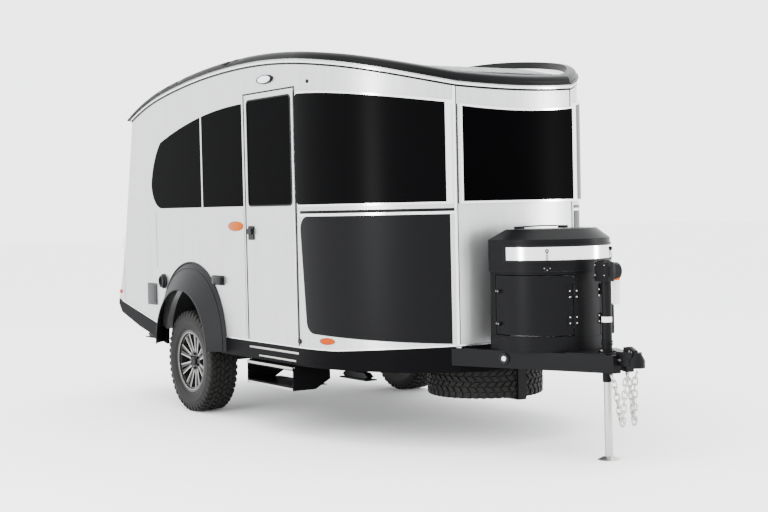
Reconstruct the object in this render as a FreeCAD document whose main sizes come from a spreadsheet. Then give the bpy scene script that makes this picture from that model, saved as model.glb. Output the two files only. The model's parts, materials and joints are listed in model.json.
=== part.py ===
import FreeCAD, Part
import math
import os
import re
import Sketcher

from FreeCAD import Placement, Rotation, Vector

# A single-axle travel caravan: riveted metal body on a chassis with an A-frame tongue.
# +X points forward to the coupler, +Y to the left side, +Z up from the ground. Sizes are in mm.
# Sizes named ..._x are measured forward from the axle, and ..._drop down from the roof's peak.

doc = FreeCAD.newDocument("travel_caravan")
sheet = doc.addObject("Spreadsheet::Sheet", "Sizes")

sizes = {
    # general
    "wall": 40,
    "slide_gap": 5,
    "seat_gap": 0.3,
    "beyond": 4000,
    # lengthwise
    "rear_overhang": 1350,
    "quarter_start_x": 1554,
    "cover_gap": 127,
    "cover_back": 115,
    "tongue_front": 432,
    # plan of the body
    "half_width": 960,
    "quarter_radius": 1183,
    "quarter_angle": 56.1,
    "front_bow_radius": 1748,
    "rear_corner_radius": 50,
    # side profile of the body
    "belly_z": 566,
    "belly_rear_x": -450,
    "belly_front_x": 1900,
    "nose_rise": 46,
    "tail_rise": 189,
    "tail_lip": 8,
    "tail_knee_rise": 63,
    "tail_knee_run": 33,
    "tail_top_run": 323,
    "roof_peak_x": 885,
    "roof_peak_z": 2400,
    "roof_front_radius": 6900,
    "roof_brow_x": 1900,
    "roof_brow_radius": 3390,
    "roof_mid_radius": 8870,
    "roof_rear_radius": 3090,
    "roof_knee_x": -443,
    "roof_lip": 10,
    "roof_lip_overhang": 12,
    "roof_cap": 46,
    "roof_edge_radius": 35,
    "roof_tail_overhang": 18,
    "roof_trim_width": 60,
    "roof_thickness": 40,
    "roof_recess": 12,
    "floor_thickness": 40,
    "rear_panel_depth": 60,
    # belly skirt
    "skirt_depth": 114,
    "skirt_thickness": 22,
    "skirt_tail_mid_run": 398,
    "skirt_tail_mid_rise": 11,
    "skirt_tail_low_run": 57,
    "skirt_tail_low_drop": 105,
    "skirt_tail_end_drop": 40,
    "skirt_stand_out": 2,
    "bumper_depth": 90,
    # windows
    "glass_thickness": 6,
    "window_sill_drop": 942,
    "side_window_gap": 38,
    "side_post_x": 210,
    "side_post_width": 20,
    "side_window_tail_x": -660,
    "side_window_tail_share": 0.375,
    "side_window_knee_x": -483,
    "side_window_knee_drop": 456,
    "side_window_mid_x": 184,
    "side_window_mid_drop": 313,
    "side_window_top_drop": 262,
    "door_window_border": 36,
    "quarter_window_lead": 6,
    "quarter_window_top_drop": 240,
    "quarter_window_mid_drop": 272,
    "quarter_window_low_drop": 348,
    "quarter_window_sill_drop": 955,
    "quarter_window_corner": 55,
    "front_window_top_drop": 372,
    "front_window_mid_drop": 397,
    "corner_gap": 6,
    "frame_width": 13,
    "frame_proud": 35,
    "quarter_frame_proud": 20,
    "pane_inset": 4,
    # stone guards
    "guard_lead": 36,
    "guard_slant": 60,
    "guard_corner_gap": 24,
    "guard_top_drop": 1014,
    "guard_low_rise": 56,
    "guard_tail_rise": 99,
    "guard_thickness": 3,
    "guard_corner": 80,
    # entry door
    "door_setback": 19,
    "door_width": 659,
    "door_bottom_rise": 9,
    "door_top_drop": 212,
    "door_corner": 30,
    "hinge_offset": 6,
    "hinge_radius": 5,
    "hinge_end": 20,
    "hinge_leaf": 8,
    "hinge_leaf_sheet": 2,
    "door_opening": 150,
    "door_clearance": 6,
    "handle_inset": 68,
    "handle_drop": 1118,
    "handle_width": 73,
    "handle_height": 92,
    "handle_base": 8,
    "paddle_width": 52,
    "paddle_height": 40,
    "paddle_depth": 14,
    # rear hatch
    "hatch_half_width": 560,
    "hatch_rise": 202,
    "hatch_top_drop": 410,
    "hatch_border": 90,
    "hatch_pane_share": 0.55,
    # wheels
    "tyre_radius": 361,
    "tyre_width": 222,
    "tyre_stand_out": 40,
    "tyre_lug_count": 21,
    "tread_depth": 12,
    "rim_radius": 214,
    "rim_width": 178,
    "rim_flange": 9,
    "rim_sheet": 8,
    "rim_lip": 5,
    "hub_setback": 62,
    "hub_radius": 62,
    "hub_bore": 36,
    "spoke_count": 8,
    "spoke_depth": 34,
    "window_inner": 84,
    "window_half_inner": 10,
    "window_half_outer": 36,
    "slot_inner": 100,
    "slot_half_inner": 3,
    "slot_half_outer": 10,
    "drum_radius": 135,
    "drum_width": 78,
    "drum_nose_radius": 30,
    "drum_nose_height": 16,
    "spindle_radius": 22,
    "spindle_clearance": 0.05,
    # wheel arches
    "arch_gap": 89,
    "arch_headroom": 198,
    "flare_spread": 80,
    "flare_rise": 146,
    "flare_lip_gap": 51,
    "flare_lip_headroom": 150,
    "flare_stand_out": 105,
    "flare_thickness": 10,
    "flare_bottom_drop": 101,
    "well_thickness": 5,
    "well_clearance": 84,
    # chassis
    "rail_inset": 149,
    "rail_width": 50,
    "rail_height": 80,
    "rail_tail_height": 60,
    "rail_front_x": 2372,
    "rail_tail_gap": 95,
    "cross_width": 50,
    "cross_height": 60,
    "outrigger_height": 40,
    "front_cross_x": 500,
    "front_cross_count": 4,
    "rear_cross_x": -330,
    "rear_cross_count": 3,
    "tongue_height": 100,
    "tongue_width": 50,
    "tongue_tip_y": 48,
    "tongue_setback": 150,
    "slot_clearance": 1,
    "slot_headroom": 20,
    "gusset_thickness": 6,
    "gusset_front": 90,
    # axle
    "axle_lead": 160,
    "axle_tube": 76,
    "axle_hanger_height": 44,
    "axle_hanger_length": 140,
    "axle_hanger_width": 60,
    "axle_half_length": 720,
    "arm_width": 40,
    "arm_height": 70,
    "backing_plate": 5,
    # gas bottle cover
    "cover_radius": 345,
    "cover_sheet": 5,
    "cover_tray_lip": 6,
    "cover_band_height": 76,
    "cover_band_sheet": 4,
    "cover_height": 450,
    "cover_flange": 6,
    "lid_band_height": 180,
    "lid_crown_height": 58,
    "lid_shoulder": 75,
    "lid_lip": 10,
    "lid_hinge_half": 220,
    "lid_hinge_drop": 10,
    "lid_strap_drop": 30,
    "cover_barrel_radius": 6,
    "cover_door_rise": 88,
    "cover_door_top_gap": 24,
    "cover_door_hinge_angle": 17,
    "cover_door_latch_angle": 100,
    "cover_hinge_height": 60,
    "cover_hinge_inset": 55,
    "cover_hinge_turn": 6,
    "cover_hinge_sheet": 3,
    "plate_rise": 64,
    "plate_height": 74,
    "plate_half_angle": 82,
    "plate_thickness": 2,
    "bottle_share": 0.41,
    "bottle_height": 400,
    "bottle_collar_height": 60,
    # jack
    "jack_setback": 282,
    "jack_tube_radius": 28.5,
    "jack_tube_drop": 62,
    "jack_tube_rise": 505,
    "jack_bore_clearance": 0.5,
    "jack_flange_radius": 50,
    "jack_flange_thickness": 8,
    "jack_head_length": 104,
    "jack_head_width": 65,
    "jack_head_height": 108,
    "jack_head_corner": 14,
    "jack_motor_radius": 50,
    "jack_motor_length": 55,
    "jack_bar_rise": 207,
    "jack_bar_height": 167,
    "jack_bar_width": 26,
    "jack_bar_thickness": 8,
    "jack_leg_radius": 22.5,
    "jack_leg_clearance": 0.3,
    "jack_leg_lap": 157,
    "jack_pad_radius": 65,
    "jack_pad_height": 18,
    # coupler
    "coupler_lap": 20,
    "coupler_width": 76,
    "coupler_rise": 19,
    "coupler_drop": 65,
    "coupler_nose_drop": 42,
    "coupler_sheet": 6,
    "ball_setback": 45,
    "ball_socket_radius": 25.6,
    "socket_wall": 19,
    "latch_length": 90,
    "latch_width": 24,
    "latch_height": 30,
    # safety chains
    "chain_wire": 9,
    "link_length": 56,
    "link_width": 36,
    "link_corner": 10,
    "link_play": 2,
    "chain_y": 58,
    "chain_front_y": 32,
    "chain_rear_setback": 190,
    "chain_low_setback": 122,
    "chain_front_setback": 80,
    "chain_low_z": 205,
    # spare wheel
    "spare_x": 2190,
    "spare_clearance": 2,
    "spare_front_gap": 12,
    "spare_rear_gap": 30,
    "carrier_half_width": 30,
    "carrier_sheet": 6,
    "carrier_cross": 30,
    "carrier_setback": 70,
    # entry step
    "step_length": 620,
    "step_depth": 270,
    "step_stand_out": 32,
    "step_low_drop": 274,
    "step_mid_drop": 148,
    "step_cheek_rise": 30,
    "step_plate": 5,
    "tread_sheet": 4,
    "tread_lip": 26,
    "step_nose": 60,
    "runner_width": 40,
    # stabilisers
    "stabilizer_y": 750,
    "stabilizer_front_x": 1895,
    "stabilizer_rear_x": -1085,
    "stabilizer_length": 310,
    "stabilizer_width": 80,
    "stabilizer_foot": 8,
    "stabilizer_height": 46,
    "stabilizer_front_z": 385,
    "stabilizer_rear_z": 440,
    "bracket_length": 120,
    "bracket_width": 46,
    "bracket_offset": 60,
    # lamps and solar panel
    "lamp_depth": 22,
    "lamp_width": 150,
    "lamp_height": 150,
    "lamp_inset": 60,
    "lamp_rise": 60,
    "solar_x": 2280,
    "solar_length": 370,
    "solar_width": 840,
    "solar_thickness": 12,
    "solar_rear_rise": 8,
    "solar_front_rise": 36,
    "solar_foot_width": 40,
}
for row, (alias, number) in enumerate(sizes.items(), start=1):
    sheet.set(f"A{row}", alias)
    sheet.set(f"B{row}", str(number))
    sheet.setAlias(f"B{row}", alias)
doc.recompute()

parts = {}


# Rules: expressions on the sheet's cells, written with the cells' bare names

def rule(text):
    return re.sub(r"\b[a-z]\w*", lambda found: f"Sizes.{found[0]}" if found[0] in sizes else found[0], text)


def value(text):
    result = sheet.evalExpression(rule(text))
    return float(getattr(result, "Value", result))


def bind(thing, rules):
    for prop, text in rules.items():
        thing.setExpression(prop, rule(text))


def place(thing, x, y, z):
    bind(thing, {".Placement.Base.x": x, ".Placement.Base.y": y, ".Placement.Base.z": z})


corner_x = "(quarter_start_x + quarter_radius * sin(quarter_angle))"
corner_y = "(half_width - quarter_radius * (1 - cos(quarter_angle)))"
bow_x = f"({corner_x} - sqrt(front_bow_radius ^ 2 - {corner_y} ^ 2))"
nose_x = f"({bow_x} + front_bow_radius)"
cover_rear_x = f"({nose_x} + cover_gap)"
cover_centre_x = f"({cover_rear_x} + cover_back)"
tip_x = f"({cover_centre_x} + cover_radius + tongue_front)"
axle = f"((rear_overhang - {tip_x}) / 2)"
tip = f"((rear_overhang + {tip_x}) / 2)"
tail_end = f"({axle} - rear_overhang)"
right = "(-half_width)"
tail_bottom_z = "(belly_z + tail_rise)"
tail_knee_z = "(belly_z + tail_rise + tail_knee_rise)"
tail_slope = "(tail_rise / (rear_overhang - tail_lip + belly_rear_x))"
door_front_x = "(quarter_start_x - door_setback)"
door_rear_x = "(quarter_start_x - door_setback - door_width)"
door_bottom = "(belly_z + door_bottom_rise)"
door_top = "(roof_peak_z - door_top_drop)"
sill_z = "(roof_peak_z - window_sill_drop)"
tongue_root_x = "(rail_front_x - rail_width / 2)"
tongue_top = (f"(belly_z + nose_rise * ({tongue_root_x} - belly_front_x) / ({nose_x} - belly_front_x)"
              " - seat_gap)")
tongue_low = f"({tongue_top} - tongue_height)"
well_inner = "(half_width + tyre_stand_out - tyre_width - well_clearance)"
rail_outer = f"({well_inner} - rail_inset)"
cover_low = f"({tongue_top} + seat_gap + cover_tray_lip)"
groove_z = f"({cover_low} + cover_height)"


# Bound primitives

def bound_box(name, x, y, z, length, width, height):
    box = doc.addObject("Part::Box", name)
    bind(box, {"Length": length, "Width": width, "Height": height})
    place(box, x, y, z)
    return box


def bound_rod(name, radius, x, y, z, height, turn=Rotation()):
    """A cylinder that starts at x, y, z and runs along +Z, or as turned."""
    cylinder = doc.addObject("Part::Cylinder", name)
    cylinder.Placement = Placement(Vector(), turn)
    bind(cylinder, {"Radius": radius, "Height": height})
    place(cylinder, x, y, z)
    return cylinder


along_y = Rotation(Vector(1, 0, 0), -90)
back_along_y = Rotation(Vector(1, 0, 0), 90)


def bound_cone(name, low_radius, high_radius, x, y, z, height):
    cone = doc.addObject("Part::Cone", name)
    bind(cone, {"Radius1": low_radius, "Radius2": high_radius, "Height": height})
    place(cone, x, y, z)
    return cone


def union(name, pieces):
    joined = doc.addObject("Part::MultiFuse", name)
    joined.Shapes = pieces
    joined.Refine = True
    return joined


def cut(name, base, tool):
    trimmed = doc.addObject("Part::Cut", name)
    trimmed.Base = base
    trimmed.Tool = tool
    trimmed.Refine = True
    return trimmed


def mirror_image(name, source):
    image = doc.addObject("Part::Mirroring", name)
    image.Source = source
    image.Normal = Vector(0, 1, 0)
    return image


def group(name, pieces):
    compound = doc.addObject("Part::Compound", name)
    compound.Links = pieces
    return compound


def rounded(name, base, radius, chosen):
    """The base with a round on each edge that chosen picks by its bounding box."""
    doc.recompute()
    fillet = doc.addObject("Part::Fillet", name)
    fillet.Base = base
    radius = value(radius)
    fillet.Edges = [(index, radius, radius) for index, edge in enumerate(base.Shape.Edges, start=1)
                    if chosen(edge.BoundBox)]
    return fillet


def runs_along_y(box):
    return box.YLength > box.XLength + box.ZLength


def runs_along_z(box):
    return box.ZLength > box.XLength + box.YLength


def plane_of(body, role):
    return next(item for item in body.Origin.OriginFeatures if item.Role == role)


def outline(body, name, role, points):
    """A closed sketch of straight lines on one of the body's planes, each corner bound to the sheet."""
    sketch = body.newObject("Sketcher::SketchObject", name)
    sketch.AttachmentSupport = [(plane_of(body, role), "")]
    sketch.MapMode = "FlatFace"
    spots = [Vector(value(x), value(y), 0) for x, y in points]
    for index, spot in enumerate(spots):
        sketch.addGeometry(Part.LineSegment(spot, spots[(index + 1) % len(spots)]), False)
    for index in range(len(spots)):
        following = (index + 1) % len(spots)
        sketch.addConstraint(Sketcher.Constraint("Coincident", index, 2, following, 1))
    for index, (x, y) in enumerate(points):
        for kind, text in (("DistanceX", x), ("DistanceY", y)):
            datum = sketch.addConstraint(Sketcher.Constraint(kind, -1, 1, index, 1, value(text)))
            sketch.setExpression(f"Constraints[{datum}]", rule(text))
    return sketch


def new_body(name, x, y, z, turn=Rotation()):
    body = doc.addObject("PartDesign::Body", name)
    body.Placement = Placement(Vector(), turn)
    place(body, x, y, z)
    return body


def padded(name, role, points, length, x, y, z, reverse=False):
    """A body with one outline padded to a length."""
    body = new_body(name, x, y, z)
    sketch = outline(body, f"{name}_outline", role, points)
    pad = body.newObject("PartDesign::Pad", f"{name}_pad")
    pad.Profile = sketch
    pad.Reversed = reverse
    bind(pad, {"Length": length})
    return body


def turned(name, points, x, y, z, turn=Rotation()):
    """A body with one outline of (radius, height) points revolved about its own Z axis."""
    body = new_body(name, x, y, z, turn)
    sketch = outline(body, f"{name}_profile", "XZ_Plane", points)
    revolution = body.newObject("PartDesign::Revolution", f"{name}_revolution")
    revolution.Profile = sketch
    revolution.ReferenceAxis = (sketch, ["V_Axis"])
    revolution.Angle = 360
    return body


def through_pocket(body, name, points, depth):
    sketch = outline(body, f"{name}_outline", "XY_Plane", points)
    hole = body.newObject("PartDesign::Pocket", name)
    hole.Profile = sketch
    hole.Type = 0
    hole.Midplane = True
    bind(hole, {"Length": depth})
    return hole


def around_axis(body, name, original, count):
    """Copies of a feature all round the body's Z axis."""
    pattern = body.newObject("PartDesign::PolarPattern", name)
    pattern.Originals = [original]
    pattern.Axis = (original.Profile[0], ["N_Axis"])
    pattern.Angle = 360
    bind(pattern, {"Occurrences": count})
    body.Tip = pattern


def keep_object(label, feature):
    feature.Label = label
    parts[label] = feature


# Free shapes: for panels cut from the curved body, which no primitive or sketch fits

def keep(label, shape):
    feature = doc.addObject("Part::Feature", f"{label}_shape")
    feature.Shape = shape
    keep_object(label, feature)


def block(x_low, x_high, y_low, y_high, z_low, z_high):
    corner = Vector(x_low, y_low, z_low)
    return Part.makeBox(x_high - x_low, y_high - y_low, z_high - z_low, corner)


def rod(radius, start, end):
    along = end - start
    return Part.makeCylinder(radius, along.Length, start, along)


def fuse(shapes):
    first, *rest = shapes
    return first.multiFuse(rest).removeSplitter() if rest else first


def mirrored(shape):
    return shape.mirror(Vector(0, 0, 0), Vector(0, 1, 0))


def across(point):
    return Vector(point.x, -point.y, point.z)


def line(start, end):
    return Part.LineSegment(start, end).toShape()


def arc(start, middle, end):
    return Part.Arc(start, middle, end).toShape()


def face_of(edges):
    return Part.Face(Part.Wire(edges))


def polygon_face(points):
    return Part.Face(Part.makePolygon(points + points[:1]))


def knuckles(start, end, radius, count):
    """Barrels of a long hinge, in turn fixed and moving, with a thin gap between them."""
    step = (end - start) / count
    inset = Vector(step).normalize() * (seat_gap / 2)
    barrels = [rod(radius, start + step * index + inset, start + step * (index + 1) - inset)
               for index in range(count)]
    return barrels[0::2], barrels[1::2]


far = value("beyond")
wall = value("wall")
slide_gap = value("slide_gap")
seat_gap = value("seat_gap")
half_width = value("half_width")
belly_z = value("belly_z")
axle_x = value(axle)
nose = axle_x + value(nose_x)
tail_x = value(tail_end)
peak_z = value("roof_peak_z")


def place_x(text):
    return axle_x + value(text)


def side_prism(points):
    """A prism across the whole width from a polygon of (x, z) points."""
    face = polygon_face([Vector(x, -far, z) for x, z in points])
    return face.extrude(Vector(0, 2 * far, 0))


# Plan of the body

quarter_x = place_x("quarter_start_x")
bow_centre_x = place_x(bow_x)
quarter_centre_y = value("quarter_radius") - half_width


def plan_corner(offset):
    """Corner between the right quarter and the bowed front, for an offset outline."""
    quarter_radius = value("quarter_radius") + offset
    bow_radius = value("front_bow_radius") + offset
    towards = Vector(bow_centre_x - quarter_x, -quarter_centre_y, 0)
    distance = towards.Length
    towards.normalize()
    along = (quarter_radius ** 2 - bow_radius ** 2 + distance ** 2) / (2 * distance)
    aside = math.sqrt(quarter_radius ** 2 - along ** 2)
    foot = Vector(quarter_x, quarter_centre_y, 0) + towards * along
    sideways = Vector(towards.y, -towards.x, 0) * aside
    return max((foot + sideways, foot - sideways), key=lambda point: point.x)


def plan_face(offset):
    """Plan outline of the body, grown outward by offset; its rear end lies far behind."""
    width = half_width + offset
    radius = value("quarter_radius") + offset
    corner = plan_corner(offset)
    half_turn = math.atan2(corner.x - quarter_x, quarter_centre_y - corner.y) / 2
    middle_x = quarter_x + radius * math.sin(half_turn)
    middle = Vector(middle_x, quarter_centre_y - radius * math.cos(half_turn), 0)
    front = Vector(nose + offset, 0, 0)
    start = Vector(quarter_x, -width, 0)
    rear = Vector(-far, -width, 0)
    return face_of([
        line(rear, start),
        arc(start, middle, corner),
        arc(corner, front, across(corner)),
        arc(across(corner), across(middle), across(start)),
        line(across(start), across(rear)),
        line(across(rear), rear),
    ])


def plan_prism(offset):
    return plan_face(offset).extrude(Vector(0, 0, far))


# Side profile of the body

def arc_height(x, join_x, join_z, radius, lean):
    """Height at x of an arc that leaves the join at a slope whose sine is lean."""
    centre_x = join_x - radius * lean
    centre_z = join_z - radius * math.sqrt(1 - lean ** 2)
    return centre_z + math.sqrt(radius ** 2 - (x - centre_x) ** 2)


def roof_z(x):
    """Height of the roof line at x, from four arcs that meet smoothly."""
    peak_x = place_x("roof_peak_x")
    if x >= peak_x:
        radius, end_radius = value("roof_front_radius"), value("roof_brow_radius")
        join_x = place_x("roof_brow_x")
    else:
        radius, end_radius = value("roof_mid_radius"), value("roof_rear_radius")
        join_x = place_x("roof_knee_x")
    if abs(x - peak_x) <= abs(join_x - peak_x):
        return arc_height(x, peak_x, peak_z, radius, 0)
    join_z = arc_height(join_x, peak_x, peak_z, radius, 0)
    return arc_height(x, join_x, join_z, end_radius, (join_x - peak_x) / radius)


tail_top_x = tail_x + value("tail_top_run")
tail_knee_x = tail_x + value("tail_knee_run")
knee_z = value(tail_knee_z)
tail_lean = (tail_top_x - tail_knee_x) / (roof_z(tail_top_x) - knee_z)
tail_limit = tail_top_x + 5 * wall


def tail_zone_prism(inset):
    """Everything ahead of the sloping rear wall, moved forward by inset."""
    bottom_x = tail_x + value("tail_lip") + inset
    return side_prism([
        (far, -far),
        (bottom_x, -far),
        (bottom_x, value(tail_bottom_z)),
        (tail_knee_x + inset, knee_z),
        (tail_knee_x + inset + tail_lean * (far - knee_z), far),
        (far, far),
    ])


def belly_zone_prism(lift):
    """Everything above the belly line, raised by lift."""
    nose_z = belly_z + value("nose_rise") + lift
    rear_x = place_x("belly_rear_x")
    return side_prism([
        (far, nose_z),
        (nose, nose_z),
        (place_x("belly_front_x"), belly_z + lift),
        (rear_x, belly_z + lift),
        (rear_x - far, belly_z + lift + value(tail_slope) * far),
        (rear_x - far, far),
        (far, far),
    ])


def roof_zone_prism(lift):
    """Everything below the roof line, raised by lift."""
    stops = [tail_top_x - 4 * wall, place_x("roof_knee_x"), place_x("roof_peak_x"), place_x("roof_brow_x"),
             nose + 2 * wall]
    edges = []
    for start, end in zip(stops, stops[1:]):
        edges.append(arc(*[Vector(x, -far, roof_z(x) + lift) for x in (start, (start + end) / 2, end)]))
    front = Vector(stops[-1], -far, roof_z(stops[-1]) + lift)
    rear = Vector(stops[0], -far, roof_z(stops[0]) + lift)
    far_rear = Vector(-far, -far, rear.z)
    edges.extend([
        line(front, Vector(front.x, -far, -far)),
        line(Vector(front.x, -far, -far), Vector(-far, -far, -far)),
        line(Vector(-far, -far, -far), far_rear),
        line(far_rear, rear),
    ])
    return face_of(edges).extrude(Vector(0, 2 * far, 0))


def hull(offset, tail_inset, belly_lift, roof_lift):
    """The body's outer form, with its plan, tail, belly and roof shifted by those amounts."""
    solid = plan_prism(offset).common(tail_zone_prism(tail_inset))
    solid = solid.common(belly_zone_prism(belly_lift))
    return solid.common(roof_zone_prism(roof_lift))


def round_tail(solid):
    """Round the two sloping corners between the rear wall and the side walls."""
    chosen = []
    for edge in solid.Edges:
        box = edge.BoundBox
        upright = box.ZLength > 3 * box.XLength and box.YLength < 1
        if upright and box.XMax < tail_limit and abs(box.YMin) > half_width / 2:
            chosen.append(edge)
    return solid.makeFillet(value("rear_corner_radius"), chosen)


outer_hull = round_tail(hull(0, 0, 0, 0))
shell = outer_hull.cut(hull(-wall, wall, -2 * wall, 2 * wall))
tail_zone = hull(wall, value("rear_panel_depth"), -3 * wall, 3 * wall)
rear_zone = shell.cut(tail_zone)
body_zone = shell.common(tail_zone)

split_x = place_x(door_front_x) + slide_gap
body_corner = plan_corner(0)
right_side = block(-far, far, -far, 0, 0, far)
side_zone = block(-far, split_x, -far, 0, 0, far)
quarter_zone = block(split_x, far, -far, body_corner.y, 0, far)
front_zone = block(split_x, far, body_corner.y, -body_corner.y, 0, far)


# Openings

def arch_block(name, radius, top, bottom, low_y, depth):
    """A block with a round top over the wheel."""
    spring = f"({top} - ({radius}))"
    crown = bound_rod(f"{name}_crown", radius, axle, f"{low_y} + {depth}", spring, depth, back_along_y)
    crown.Angle = 180
    base = bound_box(f"{name}_base", f"{axle} - ({radius})", low_y, bottom,
                     f"2 * ({radius})", depth, f"{spring} - ({bottom})")
    return union(name, [crown, base])


arch_radius = "(tyre_radius + arch_gap)"
arch_top = "(2 * tyre_radius + arch_headroom)"
skirt_bottom = "(belly_z - skirt_depth)"
wheel_space = arch_block("wheel_space", arch_radius, arch_top, "tyre_radius / 2", "-beyond", "2 * beyond")

pane_low_x = f"({axle} + {door_rear_x} + door_window_border)"
pane_width = "(door_width - 2 * door_window_border)"
pane_height = f"({door_top} - door_window_border - {sill_z})"


def door_window(name, low_y, depth):
    """A rounded block over the door's window, which the pane on the other side repeats."""
    pane = bound_box(f"{name}_block", pane_low_x, low_y, sill_z, pane_width, depth, pane_height)
    return rounded(name, pane, "door_corner", runs_along_y)


door_window_hole = door_window("door_window_hole", "-beyond", "beyond")
left_window_hole = door_window("left_window_hole", "0", "beyond")
left_window_pane = door_window("left_window_pane", "half_width - glass_thickness", "glass_thickness")
doc.recompute()
wheel_opening = wheel_space.Shape


def side_window_prism():
    """The side window band, with its pointed, curved tail."""
    sill = value(sill_z)
    front_x = place_x(f"{door_rear_x} - side_window_gap")
    knee = Vector(place_x("side_window_knee_x"), -far, peak_z - value("side_window_knee_drop"))
    tail_height = value("side_window_tail_share") * (knee.z - sill)
    tail = Vector(place_x("side_window_tail_x"), -far, sill + tail_height)
    low = Vector(knee.x, -far, sill)
    reach = knee.x - tail.x
    turn = (tail + low) / 2 + Vector(-0.14 * reach, 0, -0.25 * tail_height)
    crown = (tail + knee) / 2 + Vector(-0.1 * reach, 0, 0.1 * (knee.z - tail.z))
    middle = Vector(place_x("side_window_mid_x"), -far, peak_z - value("side_window_mid_drop"))
    top = Vector(front_x, -far, peak_z - value("side_window_top_drop"))
    foot = Vector(front_x, -far, sill)
    return face_of([
        line(foot, low),
        arc(low, turn, tail),
        arc(tail, crown, knee),
        arc(knee, middle, top),
        line(top, foot),
    ]).extrude(Vector(0, 2 * far, 0))


post_x = place_x("side_post_x")
post_half = value("side_post_width") / 2
side_panes = side_window_prism().cut(block(post_x - post_half, post_x + post_half, -far, far, 0, far))
corner_gap = value("corner_gap")


def quarter_window_prism(margin):
    """Outline of the curved quarter window seen from the side, shrunk by margin."""
    start_x = quarter_x + value("quarter_window_lead") + margin
    end_x = body_corner.x - corner_gap - margin
    sill = peak_z - value("quarter_window_sill_drop") + margin
    tops = []
    for x, drop in ((start_x, "top_drop"), ((start_x + end_x) / 2, "mid_drop"), (end_x, "low_drop")):
        tops.append(Vector(x, -far, peak_z - value(f"quarter_window_{drop}") - margin))
    foot_start = Vector(start_x, -far, sill)
    foot_end = Vector(end_x, -far, sill)
    prism = face_of([
        arc(*tops),
        line(tops[-1], foot_end),
        line(foot_end, foot_start),
        line(foot_start, tops[0]),
    ]).extrude(Vector(0, far, 0))
    at_start = [edge for edge in prism.Edges
                if edge.BoundBox.YLength > 1 and edge.BoundBox.XMax < start_x + 1]
    return prism.makeFillet(value("quarter_window_corner") - margin, at_start)


def front_window_prism(margin):
    """Outline of the front window seen from ahead; its top dips with the roof at the nose."""
    half = -body_corner.y - corner_gap - margin
    low = peak_z - value("quarter_window_sill_drop") + margin
    high = peak_z - value("front_window_top_drop") - margin
    middle = peak_z - value("front_window_mid_drop") - margin
    right_top = Vector(quarter_x, -half, high)
    right_foot = Vector(quarter_x, -half, low)
    return face_of([
        arc(right_top, Vector(quarter_x, 0, middle), across(right_top)),
        line(across(right_top), across(right_foot)),
        line(across(right_foot), right_foot),
        line(right_foot, right_top),
    ]).extrude(Vector(far, 0, 0))


def skin(outer_offset, inner_offset):
    """A curved sheet that follows the body's plan between two offsets."""
    return plan_prism(outer_offset).cut(plan_prism(inner_offset))


frame_width = value("frame_width")
glass = value("glass_thickness")
quarter_cut = quarter_window_prism(frame_width)
front_cut = front_window_prism(frame_width)

# Body panels

side_wall = body_zone.common(side_zone).cut(wheel_opening).cut(side_panes)
door_cut = block(place_x(door_rear_x) - slide_gap, split_x, -far, 0, 0, value(door_top) + slide_gap)
keep("side_wall_right", side_wall.cut(door_cut))
keep("side_wall_left", mirrored(side_wall).cut(left_window_hole.Shape))
quarter_wall = body_zone.common(quarter_zone).cut(quarter_cut)
keep("quarter_wall_left", mirrored(quarter_wall))
keep("front_wall", body_zone.common(front_zone).cut(front_cut))

inner_floor = hull(wall, -wall, value("floor_thickness"), 2 * wall)
well_inner_y = value(well_inner)
well_space = arch_block("well_space", f"{arch_radius} + well_thickness", f"{arch_top} + well_thickness",
                        "tyre_radius / 2", well_inner, "beyond")
doc.recompute()
well_rooms = well_space.Shape.fuse(mirrored(well_space.Shape))
keep("floor_pan", hull(-wall, wall, 0, 0).cut(inner_floor).cut(well_rooms))


# Roof

def round_brim(solid, height):
    """Round the upper outer edges of the roof cap."""
    chosen = []
    for edge in solid.Edges:
        box = edge.BoundBox
        middle = edge.valueAt((edge.FirstParameter + edge.LastParameter) / 2)
        on_top = abs(middle.z - roof_z(middle.x) - height) < 2
        inside = box.XLength < 1 and tail_limit < middle.x < nose - wall
        if on_top and not inside and middle.x > tail_top_x - 4 * wall:
            chosen.append(edge)
    return solid.makeFillet(value("roof_edge_radius"), chosen)


roof_cap = value("roof_cap")
tail_overhang = value("roof_tail_overhang")
cap = round_brim(hull(0, -tail_overhang, 0, roof_cap), roof_cap)
brim = hull(value("roof_lip_overhang"), -tail_overhang - value("roof_lip_overhang"), 0, value("roof_lip"))
cap = cap.fuse(brim).cut(hull(wall, -3 * wall, -wall, 0)).removeSplitter()
roof_trim = value("roof_trim_width")
keep("roof_edge_trim", cap.cut(hull(-roof_trim, roof_trim, 0, roof_cap + wall)))
roof_slab = hull(-wall, wall, 0, 0).cut(hull(wall, -wall, -wall, -value("roof_thickness")))
below_surface = hull(wall, -wall, -wall, -value("roof_recess"))
keep("roof_panel", roof_slab.cut(hull(-roof_trim, roof_trim, 0, wall).cut(below_surface)))

# Rear wall with its top-hinged hatch

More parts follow.
